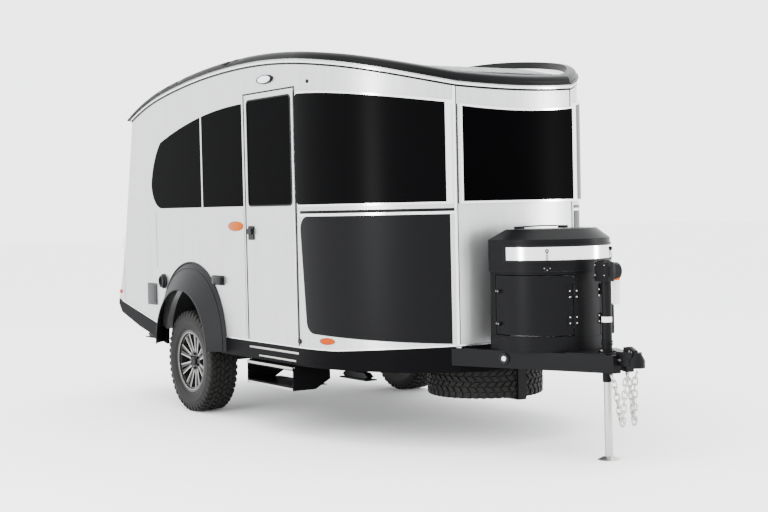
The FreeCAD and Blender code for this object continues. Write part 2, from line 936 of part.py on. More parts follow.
hatch_half = value("hatch_half_width")
hatch_low = knee_z + value("hatch_rise")
hatch_high = peak_z - value("hatch_top_drop")
hatch_border = value("hatch_border")
hatch_hole = block(-far, tail_limit, -hatch_half - slide_gap, hatch_half + slide_gap,
                   hatch_low - slide_gap, hatch_high + slide_gap)
hatch_zone = block(-far, tail_limit, -hatch_half, hatch_half, hatch_low, hatch_high)
pane_low = hatch_high - value("hatch_pane_share") * (hatch_high - hatch_low)
hatch_pane_hole = block(-far, tail_limit, -hatch_half + hatch_border, hatch_half - hatch_border,
                        pane_low, hatch_high - hatch_border)
hinge_r = value("hinge_radius")
hinge_end = value("hinge_end")
hinge_leaf = value("hinge_leaf")
hatch_hinge_z = hatch_high + slide_gap / 2
hatch_face_x = tail_knee_x + tail_lean * (hatch_hinge_z - knee_z)
hatch_hinge_x = hatch_face_x - value("hinge_offset")
fixed_barrels, moving_barrels = knuckles(Vector(hatch_hinge_x, -hatch_half + hinge_end, hatch_hinge_z),
                                         Vector(hatch_hinge_x, hatch_half - hinge_end, hatch_hinge_z), hinge_r, 5)


def hatch_leaf(barrel, z_near, z_far):
    """The flat leaf that ties a barrel of the hatch's hinge to the sheet above or below it."""
    box = barrel.BoundBox
    low, high = sorted((z_near, z_far))
    leaf = block(hatch_hinge_x, hatch_face_x + hinge_leaf, box.YMin, box.YMax, low, high)
    low, high = sorted((hatch_hinge_z, z_far))
    return fuse([leaf, block(hatch_hinge_x - 2, hatch_hinge_x + 3, box.YMin, box.YMax, low, high), barrel])


rear_frame = rear_zone.cut(hatch_hole)
for barrel in fixed_barrels:
    rear_frame = rear_frame.fuse(hatch_leaf(barrel, hatch_hinge_z + slide_gap / 2, hatch_hinge_z + 7))
hatch_panel = rear_zone.common(hatch_zone)
for barrel in moving_barrels:
    hatch_panel = hatch_panel.fuse(hatch_leaf(barrel, hatch_hinge_z - slide_gap / 2, hatch_hinge_z - 7))
keep("rear_wall", rear_frame.removeSplitter())
keep("rear_hatch", hatch_panel.cut(hatch_pane_hole).removeSplitter())
keep("rear_hatch_glass", outer_hull.common(hatch_pane_hole).cut(hull(wall, glass, -wall, wall)))

# Glass, and window frames that stand proud of the walls

pane_skin = skin(0, -glass)
right_panes = pane_skin.common(side_zone).common(side_panes)
keep("side_glass_right", right_panes)
keep("side_glass_left", Part.makeCompound([mirrored(right_panes), left_window_pane.Shape]))


def raised_pane(proud, opening):
    """A pane that follows the wall, held just inside the outer face of a frame this proud."""
    face = proud - value("pane_inset")
    return skin(face, face - glass).common(opening)


def raised_frame(proud, outline_prism, opening):
    return skin(proud, 0).common(outline_prism.cut(opening))


frame_proud = value("frame_proud")
quarter_proud = value("quarter_frame_proud")
quarter_pane = raised_pane(quarter_proud, quarter_cut)
keep("quarter_glass_right", quarter_pane)
keep("quarter_glass_left", mirrored(quarter_pane))
keep("front_glass", raised_pane(frame_proud, front_cut))

# the rear edge of the quarter frame is bevelled to let the opened door pass
hinge_x = f"({axle} + {door_front_x} + slide_gap / 2)"
hinge_y = "(-half_width - hinge_offset)"
opened_door = block(value(hinge_x) - value("door_width"), value(hinge_x),
                    -half_width - value("door_clearance"), wall - half_width, -far, far)
opened_door.rotate(Vector(value(hinge_x), value(hinge_y), 0), Vector(0, 0, -1), value("door_opening"))
quarter_frame = raised_frame(quarter_proud, quarter_window_prism(0), quarter_cut).cut(opened_door)
keep("quarter_window_frame_right", quarter_frame)
keep("quarter_window_frame_left", mirrored(quarter_frame))
keep("front_window_frame", raised_frame(frame_proud, front_window_prism(0), front_cut))


# Stone guards below the quarter windows

def guard_prism():
    start_x = quarter_x + value("guard_lead")
    end_x = body_corner.x - value("guard_corner_gap")
    slant = value("guard_slant")
    top = peak_z - value("guard_top_drop")
    prism = side_prism([
        (start_x, top),
        (end_x, top),
        (end_x, belly_z + value("guard_low_rise")),
        (start_x + slant, belly_z + value("guard_tail_rise")),
    ]).common(right_side)
    at_start = [edge for edge in prism.Edges
                if edge.BoundBox.YLength > 1 and edge.BoundBox.XMax < start_x + slant + 1]
    return prism.makeFillet(value("guard_corner"), at_start)


guard = skin(value("guard_thickness"), 0).common(guard_prism())
keep("stone_guard_right", guard)
keep("stone_guard_left", mirrored(guard))

# Entry door on the right side, hung on a long hinge at its front edge

barrel_count = 7
barrel_step = f"(({door_top} - {door_bottom} - 2 * hinge_end) / {barrel_count})"
door_pieces = [bound_box("door_slab", f"{axle} + {door_rear_x}", right, door_bottom,
                         "door_width", "wall", f"{door_top} - {door_bottom}")]
hinged_quarter = quarter_wall
hinge_point = Vector(value(hinge_x), value(hinge_y), 0)
for index in range(barrel_count):
    barrel_low = f"({door_bottom} + hinge_end + {index} * {barrel_step} + seat_gap / 2)"
    barrel_length = f"({barrel_step} - seat_gap)"
    if index % 2:
        door_pieces.append(bound_rod(f"door_barrel_{index}", "hinge_radius", hinge_x, hinge_y,
                                     barrel_low, barrel_length))
        door_pieces.append(bound_box(f"door_leaf_{index}", f"{hinge_x} - hinge_leaf", hinge_y, barrel_low,
                                     "hinge_leaf - 1", "hinge_offset + hinge_leaf_sheet", barrel_length))
    else:
        low = value(barrel_low)
        high = low + value(barrel_length)
        leaf_end = hinge_point.x + hinge_leaf
        barrel = rod(hinge_r, hinge_point + Vector(0, 0, low), hinge_point + Vector(0, 0, high))
        leaf = block(hinge_point.x + 1, leaf_end, hinge_point.y, -half_width, low, high)
        toe = block(split_x, leaf_end, -half_width, value("hinge_leaf_sheet") - half_width, low, high)
        hinged_quarter = hinged_quarter.fuse(barrel).fuse(leaf).fuse(toe)
keep("quarter_wall_right", hinged_quarter.removeSplitter())
keep_object("entry_door", cut("entry_door_panel", union("door_solid", door_pieces), door_window_hole))
keep_object("entry_door_glass", door_window("door_pane", right, "glass_thickness"))
handle_x = f"({axle} + {door_rear_x} + handle_inset)"
handle_z = "(roof_peak_z - handle_drop)"
handle_base = bound_box("handle_base", f"{handle_x} - handle_width / 2", "-half_width - handle_base",
                        f"{handle_z} - handle_height / 2", "handle_width", "handle_base", "handle_height")
paddle = bound_box("handle_paddle", f"{handle_x} - paddle_width / 2",
                   "-half_width - handle_base - paddle_depth", f"{handle_z} - paddle_height / 4",
                   "paddle_width", "paddle_depth", "paddle_height")
round_base = rounded("handle_plate", handle_base, "hinge_leaf", runs_along_y)
round_paddle = rounded("handle_grip", paddle, "hinge_offset", lambda box: box.XLength > box.YLength + box.ZLength)
keep_object("door_handle", union("handle_whole", [round_base, round_paddle]))


# Fender flares and wheel wells

def arch_wire(radius, top, y, below=0):
    """A round-topped arch outline around the axle, down to the flares' lower ends or below them."""
    bottom_z = belly_z - value("flare_bottom_drop") - below
    low_left = Vector(axle_x - radius, y, bottom_z)
    low_right = Vector(axle_x + radius, y, bottom_z)
    left = Vector(axle_x - radius, y, top - radius)
    right_spring = Vector(axle_x + radius, y, top - radius)
    crown = Vector(axle_x, y, top)
    return Part.Wire([line(low_left, left), arc(left, crown, right_spring),
                      line(right_spring, low_right), line(low_right, low_left)])


flare_t = value("flare_thickness")
flare_y = half_width + value("flare_stand_out")
flare_radius = value(f"{arch_radius} + flare_spread")
flare_top = value(f"{arch_top} + flare_rise")
lip_radius = value("tyre_radius + flare_lip_gap")
lip_top = value("2 * tyre_radius + flare_lip_headroom")
flare_outer = Part.makeLoft([arch_wire(flare_radius, flare_top, -half_width, wall),
                             arch_wire(lip_radius + flare_t, lip_top + flare_t, -flare_y, wall)], True, True)
flare_inner = Part.makeLoft([arch_wire(flare_radius - flare_t, flare_top - flare_t, -half_width + 1, 2 * wall),
                             arch_wire(lip_radius, lip_top, -flare_y - 1, 2 * wall)], True, True)
flare_low = belly_z - value("flare_bottom_drop")
flare = flare_outer.cut(flare_inner).cut(block(-far, far, -far, far, 0, flare_low))
keep("fender_flare_right", flare)
keep("fender_flare_left", mirrored(flare))

well_outer = arch_block("well_outer", f"{arch_radius} + well_thickness", f"{arch_top} + well_thickness",
                        skirt_bottom, "wall - half_width", f"half_width - wall - {well_inner}")
well_room = arch_block("well_room", arch_radius, arch_top, "tyre_radius / 2",
                       "-beyond", f"beyond - {well_inner} - well_thickness")
well_right = cut("well_right", well_outer, well_room)
keep_object("wheel_well_right", well_right)
keep_object("wheel_well_left", mirror_image("well_left", well_right))

# Chassis: two long rails, cross members, outriggers and the bars of the A-frame

rail_low_z = "(belly_z - rail_height)"
rail_tail = f"({tail_end} + rail_tail_gap)"
belly_rear = f"({axle} + belly_rear_x)"
rail_front = f"({axle} + rail_front_x)"
tail_top_z = f"(belly_z + {tail_slope} * ({belly_rear} - {rail_tail}))"
rail_right = padded("rail_right", "XZ_Plane", [
    (rail_front, "belly_z"),
    (belly_rear, "belly_z"),
    (rail_tail, tail_top_z),
    (rail_tail, f"{tail_top_z} - rail_tail_height"),
    (belly_rear, rail_low_z),
    (rail_front, rail_low_z),
], "rail_width", "0", f"rail_width - {rail_outer}", "0")
rail_left = mirror_image("rail_left", rail_right)
frame_pieces = [rail_right, rail_left]
rail_reach = f"({rail_outer} - rail_width / 2)"
front_count = int(value("front_cross_count"))
for index in range(front_count):
    cross_x = f"({axle} + front_cross_x + (rail_front_x - cross_width - front_cross_x) * {index} / {front_count - 1})"
    frame_pieces.append(bound_box(f"front_cross_{index}", cross_x, f"-{rail_reach}", "belly_z - cross_height",
                                  "cross_width", f"2 * {rail_reach}", "cross_height"))
    if index < front_count - 1:
        frame_pieces.append(bound_box(f"outrigger_{index}", cross_x, "wall - half_width",
                                      "belly_z - outrigger_height", "cross_width",
                                      "2 * (half_width - wall)", "outrigger_height"))
rear_count = int(value("rear_cross_count"))
for index in range(rear_count):
    cross_x = f"({axle} + rear_cross_x + ({rail_tail} - {axle} - rear_cross_x) * {index} / {rear_count - 1})"
    rise = f"({tail_slope} * max(0; {belly_rear} - {cross_x} - cross_width))"
    frame_pieces.append(bound_box(f"rear_cross_{index}", cross_x, f"-{rail_reach}",
                                  f"belly_z + {rise} - rail_tail_height", "cross_width",
                                  f"2 * {rail_reach}", "rail_tail_height"))

tongue_start = f"({tip} - tongue_setback)"
tongue_root = f"({axle} + {tongue_root_x})"
tongue_run = f"({tongue_start} - {tongue_root})"
tongue_root_y = f"({rail_outer} - rail_width / 2)"
tongue_spread = f"({tongue_root_y} - tongue_tip_y)"
tongue_lean = f"({tongue_spread} / {tongue_run})"
bar_half = f"(tongue_width / 2 * hypot({tongue_run}; {tongue_spread}) / {tongue_run})"


def tongue_bar(name, margin, headroom):
    """Right bar of the A-frame, grown by a margin on its sides and by headroom on top."""
    half = f"({bar_half} + 2 * {margin})"
    return padded(name, "XY_Plane", [
        (f"{tongue_start} + {margin}", f"{half} - tongue_tip_y"),
        (f"{tongue_start} + {margin}", f"-{half} - tongue_tip_y"),
        (f"{tongue_root} - {margin}", f"-{half} - {tongue_root_y}"),
        (f"{tongue_root} - {margin}", f"{half} - {tongue_root_y}"),
    ], f"tongue_height + {margin} + {headroom}", "0", "0", f"{tongue_low} - {margin}")


bar_right = tongue_bar("tongue_bar_right", "0", "0")
bar_left = mirror_image("tongue_bar_left", bar_right)
jack_x = f"({tip} - jack_setback)"
gusset_front_y = f"(tongue_tip_y + (jack_setback - gusset_front - tongue_setback) * {tongue_lean} + tongue_width / 2)"
gusset_rear = f"({axle} + {cover_centre_x} + cover_radius + cover_tray_lip + slide_gap)"
gusset_rear_y = f"(tongue_tip_y + ({tongue_start} - {gusset_rear}) * {tongue_lean} + tongue_width / 2)"
gusset = padded("gusset", "XY_Plane", [
    (gusset_rear, f"-{gusset_rear_y}"),
    (f"{jack_x} + gusset_front", f"-{gusset_front_y}"),
    (f"{jack_x} + gusset_front", gusset_front_y),
    (gusset_rear, gusset_rear_y),
], "gusset_thickness", "0", "0", tongue_top)
axle_z = f"({rail_low_z} - axle_hanger_height - axle_tube / 2)"
lead_x = f"({axle} + axle_lead)"
hanger = bound_box("axle_hanger", f"{lead_x} - axle_hanger_length / 2",
                   f"rail_width / 2 - {rail_outer} - axle_hanger_width / 2", f"{rail_low_z} - axle_hanger_height",
                   "axle_hanger_length", "axle_hanger_width", "axle_hanger_height")
frame_pieces.extend([bar_right, bar_left, gusset, hanger, mirror_image("axle_hanger_left", hanger)])
jack_bore = bound_rod("jack_bore", "jack_tube_radius + jack_bore_clearance", jack_x, "0", "0", "beyond")
keep_object("chassis_frame", cut("chassis_whole", union("chassis_solid", frame_pieces), jack_bore))

# Belly skirt and rear bumper

skirt_low = value(skirt_bottom)
skirt_band = side_prism([
    (far, belly_z + value("nose_rise")),
    (nose, belly_z + value("nose_rise")),
    (place_x("belly_front_x"), belly_z),
    (place_x("belly_rear_x"), belly_z),
    (tail_x + value("tail_lip"), value(tail_bottom_z)),
    (tail_x, value(f"{tail_bottom_z} - skirt_tail_end_drop")),
    (tail_x + value("skirt_tail_low_run"), value(f"{tail_bottom_z} - skirt_tail_low_drop")),
    (tail_x + value("skirt_tail_mid_run"), belly_z - value("skirt_tail_mid_rise")),
    (place_x("belly_rear_x"), skirt_low),
    (far, skirt_low),
])
stand_out = value("skirt_stand_out")
bumper_zone = block(-far, tail_x + value("bumper_depth"), -far, far, 0, far)
keep("rear_bumper", plan_prism(stand_out).common(skirt_band).common(bumper_zone))
skirt_ring = skin(stand_out, stand_out - value("skirt_thickness")).common(skirt_band)
skirt_ring = skirt_ring.cut(bumper_zone).cut(wheel_opening)
flare_seat = Part.Face(arch_wire(flare_radius, flare_top, -half_width)).extrude(Vector(0, -far, 0))
bar_slot = tongue_bar("tongue_bar_slot", "slot_clearance", "slot_headroom")
doc.recompute()
for tool in (flare_seat, mirrored(flare_seat), bar_slot.Shape, mirrored(bar_slot.Shape)):
    skirt_ring = skirt_ring.cut(tool)
keep("belly_skirt_right", skirt_ring.common(right_side))
keep("belly_skirt_left", skirt_ring.common(mirrored(right_side)))

# Axle: a torsion tube with trailing arms, spindles and backing plates

wheel_z = "tyre_radius"
arm_y = "(-axle_half_length - arm_width)"
arm_drop = f"({axle_z} - {wheel_z})"
drum_inner_y = "(half_width + tyre_stand_out - tyre_width / 2 + rim_width / 2 - hub_setback - drum_width)"
tube = bound_box("axle_tube_box", f"{lead_x} - axle_tube / 2", "-axle_half_length", f"{axle_z} - axle_tube / 2",
                 "axle_tube", "2 * axle_half_length", "axle_tube")
boss = bound_rod("arm_boss", "arm_height / 2", lead_x, arm_y, axle_z, "arm_width", along_y)
heel = bound_rod("arm_heel", "arm_height / 2", axle, arm_y, wheel_z, "arm_width", along_y)
web = bound_box("arm_web", axle, arm_y, wheel_z, f"hypot(axle_lead; {arm_drop})", "arm_width", "arm_height")
web.Placement = Placement(web.Placement.Base, Rotation(Vector(0, 1, 0), -1))
web_turn = f"atan2({arm_drop}; axle_lead)"
bind(web, {
    ".Placement.Rotation.Angle": f"-{web_turn}",
    ".Placement.Base.x": f"{axle} + arm_height / 2 * sin({web_turn})",
    ".Placement.Base.z": f"{wheel_z} - arm_height / 2 * cos({web_turn})",
})
spindle = bound_rod("spindle", "spindle_radius", axle, f"-{drum_inner_y} - drum_width + slide_gap", wheel_z,
                    f"{drum_inner_y} + drum_width - slide_gap - axle_half_length", along_y)
backing = bound_rod("backing_plate", "drum_radius - slide_gap", axle, f"slide_gap - {drum_inner_y}", wheel_z,
                    "backing_plate", along_y)
arm_right = union("arm_right", [boss, heel, web, spindle, backing])
keep_object("axle_beam", union("axle_whole", [tube, arm_right, mirror_image("arm_left", arm_right)]))

# Wheels: each part is made about +Z with its outer side up, then turned onto the axle

wheel_y = "(half_width + tyre_stand_out - tyre_width / 2)"
face_out = {"right": Rotation(Vector(1, 0, 0), 90), "left": Rotation(Vector(1, 0, 0), -90)}
wheel_spots = {"right": (axle, f"-{wheel_y}", wheel_z), "left": (axle, wheel_y, wheel_z)}


def tyre_shape():
    """Tyre with lugs across its shoulders, as a ring of flat facets: lug and groove sectors in turn."""
    radius = value("tyre_radius")
    depth = value("tread_depth")
    half = value("tyre_width") / 2
    sector_count = 2 * int(value("tyre_lug_count"))
    bead = value("rim_radius + seat_gap") / math.cos(math.pi / sector_count)
    bead_half = value("rim_width / 2 - seat_gap")
    bulge = (bead + radius) / 2
    sides = [(bead, bead_half), (bead + depth, bead_half), (bulge, half), (radius - 2.5 * depth, 0.96 * half)]
    shoulder = (radius - depth, 0.92 * half)
    edge = (radius, 0.8 * half)
    rib = (radius, 0.45 * half)
    groove_top = (radius - depth, 0.45 * half)
    groove_end = (radius - depth, 0.88 * half)
    profiles = []
    for upper in ([shoulder, edge], [groove_end, groove_top, rib]):
        top = sides + upper
        profiles.append([(r, -z) for r, z in top] + [(r, z) for r, z in reversed(top)])

    def spot(point, bearing):
        return Vector(point[0] * math.cos(bearing), point[0] * math.sin(bearing), point[1])

    faces = []
    for index in range(sector_count):
        low, high = (2 * math.pi * stop / sector_count for stop in (index, index + 1))
        profile = profiles[index % 2]
        for first, second in zip(profile, profile[1:] + profile[:1]):
            faces.append(polygon_face([spot(first, low), spot(second, low), spot(second, high), spot(first, high)]))
        for sign in (-1, 1):
            flank = [sides[-1], shoulder, edge, rib, groove_top, groove_end]
            faces.append(polygon_face([spot((r, sign * z), low) for r, z in flank]))
    return Part.Solid(Part.Shell(faces))


def rim_body(name, spot, turn):
    """Alloy rim: one profile turned about the axle, with windows and narrow slots round its face."""
    half = "(rim_width / 2)"
    well = "(rim_radius - rim_sheet)"
    body = turned(name, [
        ("rim_radius + rim_flange", f"{half} + rim_lip"),
        ("rim_radius + rim_flange", half),
        ("rim_radius", half),
        ("rim_radius", f"-{half}"),
        ("rim_radius + rim_flange", f"-{half}"),
        ("rim_radius + rim_flange", f"-{half} - rim_lip"),
        (well, f"-{half} - rim_lip"),
        (well, f"{half} - rim_sheet - spoke_depth"),
        ("hub_radius", f"{half} - hub_setback"),
        ("hub_bore", f"{half} - hub_setback"),
        ("hub_bore", f"{half} - hub_setback / 2 - rim_sheet"),
        ("0", f"{half} - hub_setback / 2 - rim_sheet"),
        ("0", f"{half} - hub_setback / 2 + rim_sheet"),
        ("hub_bore", f"{half} - hub_setback / 2 + rim_sheet / 2"),
        ("hub_radius", f"{half} - hub_setback / 2"),
        (well, f"{half} - rim_sheet"),
        (well, f"{half} + rim_lip"),
    ], *spot, turn)
    reach = f"({well} - 2 * rim_sheet)"
    window = through_pocket(body, f"{name}_window", [
        ("window_inner", "-window_half_inner"),
        (reach, "-window_half_outer"),
        (reach, "window_half_outer"),
        ("window_inner", "window_half_inner"),
    ], "2 * rim_width")
    around_axis(body, f"{name}_windows", window, "spoke_count")
    slot_turn = "(180 / spoke_count)"
    corners = [("slot_inner", "-slot_half_inner"), (reach, "-slot_half_outer"),
               (reach, "slot_half_outer"), ("slot_inner", "slot_half_inner")]
    slot = through_pocket(body, f"{name}_slot", [
        (f"{x} * cos({slot_turn}) - ({y}) * sin({slot_turn})", f"{x} * sin({slot_turn}) + ({y}) * cos({slot_turn})")
        for x, y in corners
    ], "2 * rim_width")
    around_axis(body, f"{name}_slots", slot, "spoke_count")
    return body


def drum_body(name, spot, turn):
    """Hub and brake drum with a blind bore for the spindle."""
    top = "(rim_width / 2 - hub_setback)"
    bore = "(spindle_radius + spindle_clearance)"
    return turned(name, [
        (bore, f"{top} - drum_width"),
        ("drum_radius", f"{top} - drum_width"),
        ("drum_radius", top),
        ("drum_nose_radius", top),
        ("drum_nose_radius", f"{top} + drum_nose_height"),
        ("0", f"{top} + drum_nose_height"),
        ("0", top),
        (bore, top),
    ], *spot, turn)


def keep_tyre(label, spot, turn):
    keep(label, tyre_shape())
    parts[label].Placement = Placement(Vector(*[value(text) for text in spot]), turn)


for word in ("right", "left"):
    keep_tyre(f"tyre_{word}", wheel_spots[word], face_out[word])
    keep_object(f"rim_{word}", rim_body(f"wheel_{word}", wheel_spots[word], face_out[word]))
    keep_object(f"brake_drum_{word}", drum_body(f"drum_{word}", wheel_spots[word], face_out[word]))

# Spare wheel slung under the front on a strap

spare_z = f"({rail_low_z} - spare_clearance - tyre_width / 2)"
spare_spot = (f"({axle} + spare_x)", "0", spare_z)
keep_tyre("spare_tyre", spare_spot, Rotation())
keep_object("spare_rim", rim_body("spare_wheel", spare_spot, Rotation()))
strap_top = f"({spare_z} - tyre_width / 2 - seat_gap)"
strap_rear = f"({spare_spot[0]} - tyre_radius - spare_rear_gap)"
strap_front = f"({spare_spot[0]} + tyre_radius + spare_front_gap)"
strap_length = f"({strap_front} - {strap_rear})"
strap = bound_box("spare_strap", strap_rear, "-carrier_half_width", f"{strap_top} - carrier_sheet",
                  strap_length, "2 * carrier_half_width", "carrier_sheet")
carrier_pieces = [strap]
rear_reach = f"({rail_outer} - rail_width)"
front_cross_end = f"({strap_front} - carrier_setback)"
front_reach = f"(tongue_tip_y + ({tongue_start} - {front_cross_end}) * {tongue_lean} - {bar_half})"
carrier_pieces.append(bound_box("carrier_arm", front_cross_end, "-carrier_half_width", "belly_z - 2 * carrier_sheet",
                                "carrier_setback", "2 * carrier_half_width", "2 * carrier_sheet"))
for word, post_low_x, cross_low_x, reach in (
        ("rear", strap_rear, f"{strap_rear} - carrier_cross", rear_reach),
        ("front", f"({strap_front} - carrier_sheet)", f"({front_cross_end} - carrier_cross)", front_reach)):
    carrier_pieces.append(bound_box(f"carrier_post_{word}", post_low_x, "-carrier_half_width", strap_top,
                                    "carrier_sheet", "2 * carrier_half_width", f"belly_z - {strap_top}"))
    carrier_pieces.append(bound_box(f"carrier_cross_{word}", cross_low_x, f"-{reach}",
                                    "belly_z - outrigger_height", "carrier_cross", f"2 * {reach}",
                                    "outrigger_height"))
keep_object("spare_carrier", union("carrier_whole", carrier_pieces))

# Gas bottle cover on the tongue

centre_x = place_x(cover_centre_x)
back_x = place_x(cover_rear_x)
cover_r = value("cover_radius")
drum_low = value(cover_low)
groove = value(groove_z)


def cover_wire(radius, rear_x, z):
    """Plan of the cover: a half round front on straight sides and a flat back."""
    side = Vector(centre_x, -radius, z)
    rear = Vector(rear_x, -radius, z)
    return Part.Wire([line(rear, side), arc(side, Vector(centre_x + radius, 0, z), across(side)),
                      line(across(side), across(rear)), line(across(rear), rear)])


def cover_solid(grow, z_low, z_high):
    outline_wire = cover_wire(cover_r + grow, back_x - min(grow, 0), z_low)
    return Part.Face(outline_wire).extrude(Vector(0, 0, z_high - z_low))


def cover_ring(outer, inner, z_low, z_high):
    return cover_solid(outer, z_low, z_high).cut(cover_solid(inner, z_low - 1, z_high + 1))


def sector(angle_low, angle_high, z_low, z_high):
    """A wedge about the cover's centre between two bearings, measured from +X."""
    centre = Vector(centre_x, 0, z_low)
    steps = 6
    points = [centre]
    for index in range(steps + 1):
        bearing = math.radians(angle_low + (angle_high - angle_low) * index / steps)
        points.append(centre + Vector(math.cos(bearing), math.sin(bearing), 0) * 3 * cover_r)
    return polygon_face(points).extrude(Vector(0, 0, z_high - z_low))


sheet_t = value("cover_sheet")
flange_t = value("cover_flange")
lid_lip = value("lid_lip")
hinge_angle = value("cover_door_hinge_angle")
latch_angle = value("cover_door_latch_angle")
gap_angle = math.degrees(slide_gap / cover_r)
leaf_low = drum_low + value("cover_door_rise")
leaf_high = groove - value("cover_door_top_gap")
drum_wall = cover_ring(0, -sheet_t, drum_low, groove)
for side in (-1, 1):
    low, high = sorted((side * (hinge_angle - gap_angle), side * (latch_angle + gap_angle)))
    drum_wall = drum_wall.cut(sector(low, high, leaf_low - slide_gap, leaf_high + slide_gap))
tray_lip = value("cover_tray_lip")
drum_pieces = [
    drum_wall,
    cover_solid(tray_lip, drum_low - tray_lip, drum_low),
    cover_ring(value("cover_band_sheet"), -1, drum_low, drum_low + value("cover_band_height")),
    cover_ring(lid_lip, -sheet_t, groove - flange_t, groove),
]
barrel_r = value("cover_barrel_radius")
barrel_reach = cover_r + barrel_r + seat_gap
barrel_angle = math.radians(hinge_angle - gap_angle / 2)
barrel_height = value("cover_hinge_height")
for side, word in ((-1, "right"), (1, "left")):
    low, high = sorted((side * hinge_angle, side * latch_angle))
    leaf = cover_ring(0, -sheet_t, leaf_low, leaf_high).common(sector(low, high, leaf_low, leaf_high))
    low, high = sorted((side * hinge_angle, side * (hinge_angle + value("cover_hinge_turn"))))
    for z in (leaf_low + value("cover_hinge_inset"), leaf_high - value("cover_hinge_inset") - barrel_height):
        tab = cover_ring(value("cover_hinge_sheet"), -1, z, z + barrel_height)
        foot = Vector(centre_x + barrel_reach * math.cos(barrel_angle), side * barrel_reach * math.sin(barrel_angle), z)
        barrel = rod(barrel_r, foot, foot + Vector(0, 0, barrel_height))
        leaf = fuse([leaf, tab.common(sector(low, high, z, z + barrel_height)), barrel])
    keep(f"cover_door_{word}", leaf)

lid_low = groove + seat_gap
band_top = groove + value("lid_band_height")
shoulder = value("lid_shoulder")
crown_wire = cover_wire(cover_r + lid_lip - shoulder, back_x + shoulder, band_top + value("lid_crown_height"))
lid_crown = Part.makeLoft([cover_wire(cover_r + lid_lip, back_x, band_top), crown_wire], True, True)
lid_inner = cover_solid(lid_lip - sheet_t, lid_low - 1, band_top - sheet_t)
lid_shell = cover_solid(lid_lip, lid_low, band_top).fuse(lid_crown).cut(lid_inner)
lid_hinge_x = back_x - hinge_r - 1
lid_hinge_z = band_top - value("lid_hinge_drop")
lid_hinge_half = value("lid_hinge_half")
fixed_barrels, moving_barrels = knuckles(Vector(lid_hinge_x, -lid_hinge_half, lid_hinge_z),
                                         Vector(lid_hinge_x, lid_hinge_half, lid_hinge_z), hinge_r, 5)
for barrel in moving_barrels:
    box = barrel.BoundBox
    leaf = block(lid_hinge_x, back_x + 2, box.YMin, box.YMax, lid_hinge_z + 1, lid_hinge_z + hinge_r)
    lid_shell = fuse([lid_shell, barrel, leaf])
for barrel in (fixed_barrels[0], fixed_barrels[-1]):
    box = barrel.BoundBox
    low_y = box.YMin + hinge_end
    high_y = box.YMax - hinge_end
    strap_low = groove - value("lid_strap_drop")
    strap = block(lid_hinge_x - 4, lid_hinge_x, low_y, high_y, strap_low, lid_hinge_z)
    foot = block(lid_hinge_x - 4, back_x + 1, low_y, high_y, strap_low, groove - flange_t)
    drum_pieces.extend([barrel, strap, foot])
keep("cover_drum", fuse(drum_pieces))
keep("cover_lid", lid_shell)
plate_low = groove + value("plate_rise")
plate_high = plate_low + value("plate_height")
plate_half = value("plate_half_angle")
plate_ring = cover_ring(lid_lip + value("plate_thickness"), lid_lip, plate_low, plate_high)
keep("cover_plate", plate_ring.common(sector(-plate_half, plate_half, plate_low, plate_high)))

bottle_r = "(bottle_share * cover_radius)"
bottle_y = f"({bottle_r} + cover_tray_lip)"
bottle_x = f"({axle} + {cover_rear_x} + cover_sheet + {bottle_y})"
bottle_right = turned("bottle_right", [
    ("0", "0"),
    (f"0.7 * {bottle_r}", "0"),
    (bottle_r, f"0.3 * {bottle_r}"),
    (bottle_r, f"bottle_height - bottle_collar_height - 0.3 * {bottle_r}"),
    (f"0.6 * {bottle_r}", "bottle_height - bottle_collar_height"),
    (f"0.6 * {bottle_r}", "bottle_height"),
    ("0", "bottle_height"),
], bottle_x, f"-{bottle_y}", cover_low)
keep_object("gas_bottles", group("bottle_pair", [bottle_right, mirror_image("bottle_left", bottle_right)]))

# Tongue jack

tube_low = f"({tongue_low} - jack_tube_drop)"
tube_top = f"({tongue_low} + jack_tube_rise)"
jack_tube = turned("jack_tube", [
    ("0", f"{tube_top} - {tube_low} - hinge_end"),
    ("jack_leg_radius + jack_leg_clearance", f"{tube_top} - {tube_low} - hinge_end"),
    ("jack_leg_radius + jack_leg_clearance", "0"),
    ("jack_tube_radius", "0"),
    ("jack_tube_radius", f"{tube_top} - {tube_low}"),
    ("0", f"{tube_top} - {tube_low}"),
], jack_x, "0", tube_low)
flange_hub = "(jack_tube_radius - coupler_sheet / 2)"
flange_low = f"({tongue_top} + gusset_thickness)"
jack_flange = turned("jack_flange", [
    (flange_hub, "0"),
    ("jack_flange_radius", "0"),
    ("jack_flange_radius", "jack_flange_thickness"),
    (flange_hub, "jack_flange_thickness"),
], jack_x, "0", flange_low)
head_z = f"({tube_top} - slide_gap)"
jack_head = bound_box("jack_head_block", f"{jack_x} - jack_head_length / 2", "-0.7 * jack_head_width", head_z,
                      "jack_head_length", "jack_head_width", "jack_head_height")
jack_motor = bound_rod("jack_motor", "jack_motor_radius", jack_x, "0.2 * jack_head_width",
                       f"{head_z} + jack_head_height / 2", "0.1 * jack_head_width + jack_motor_length", along_y)
jack_bar = bound_box("jack_bar", f"{jack_x} - jack_bar_thickness / 2", f"{flange_hub}",
                     f"{tongue_low} + jack_bar_rise", "jack_bar_thickness", "jack_bar_width", "jack_bar_height")
round_head = rounded("jack_head", jack_head, "jack_head_corner", runs_along_z)
keep_object("jack_body", union("jack_whole", [jack_tube, jack_flange, round_head, jack_motor, jack_bar]))
leg_height = f"({tube_low} + jack_leg_lap - jack_pad_height)"
jack_pad = bound_cone("jack_pad", "jack_pad_radius", "0.45 * jack_pad_radius", jack_x, "0", "0", "jack_pad_height")
jack_rod = bound_rod("jack_rod", "jack_leg_radius", jack_x, "0", "jack_pad_height", leg_height)
keep_object("jack_leg", union("jack_leg_whole", [jack_rod, jack_pad]))

# Ball coupler with its latch

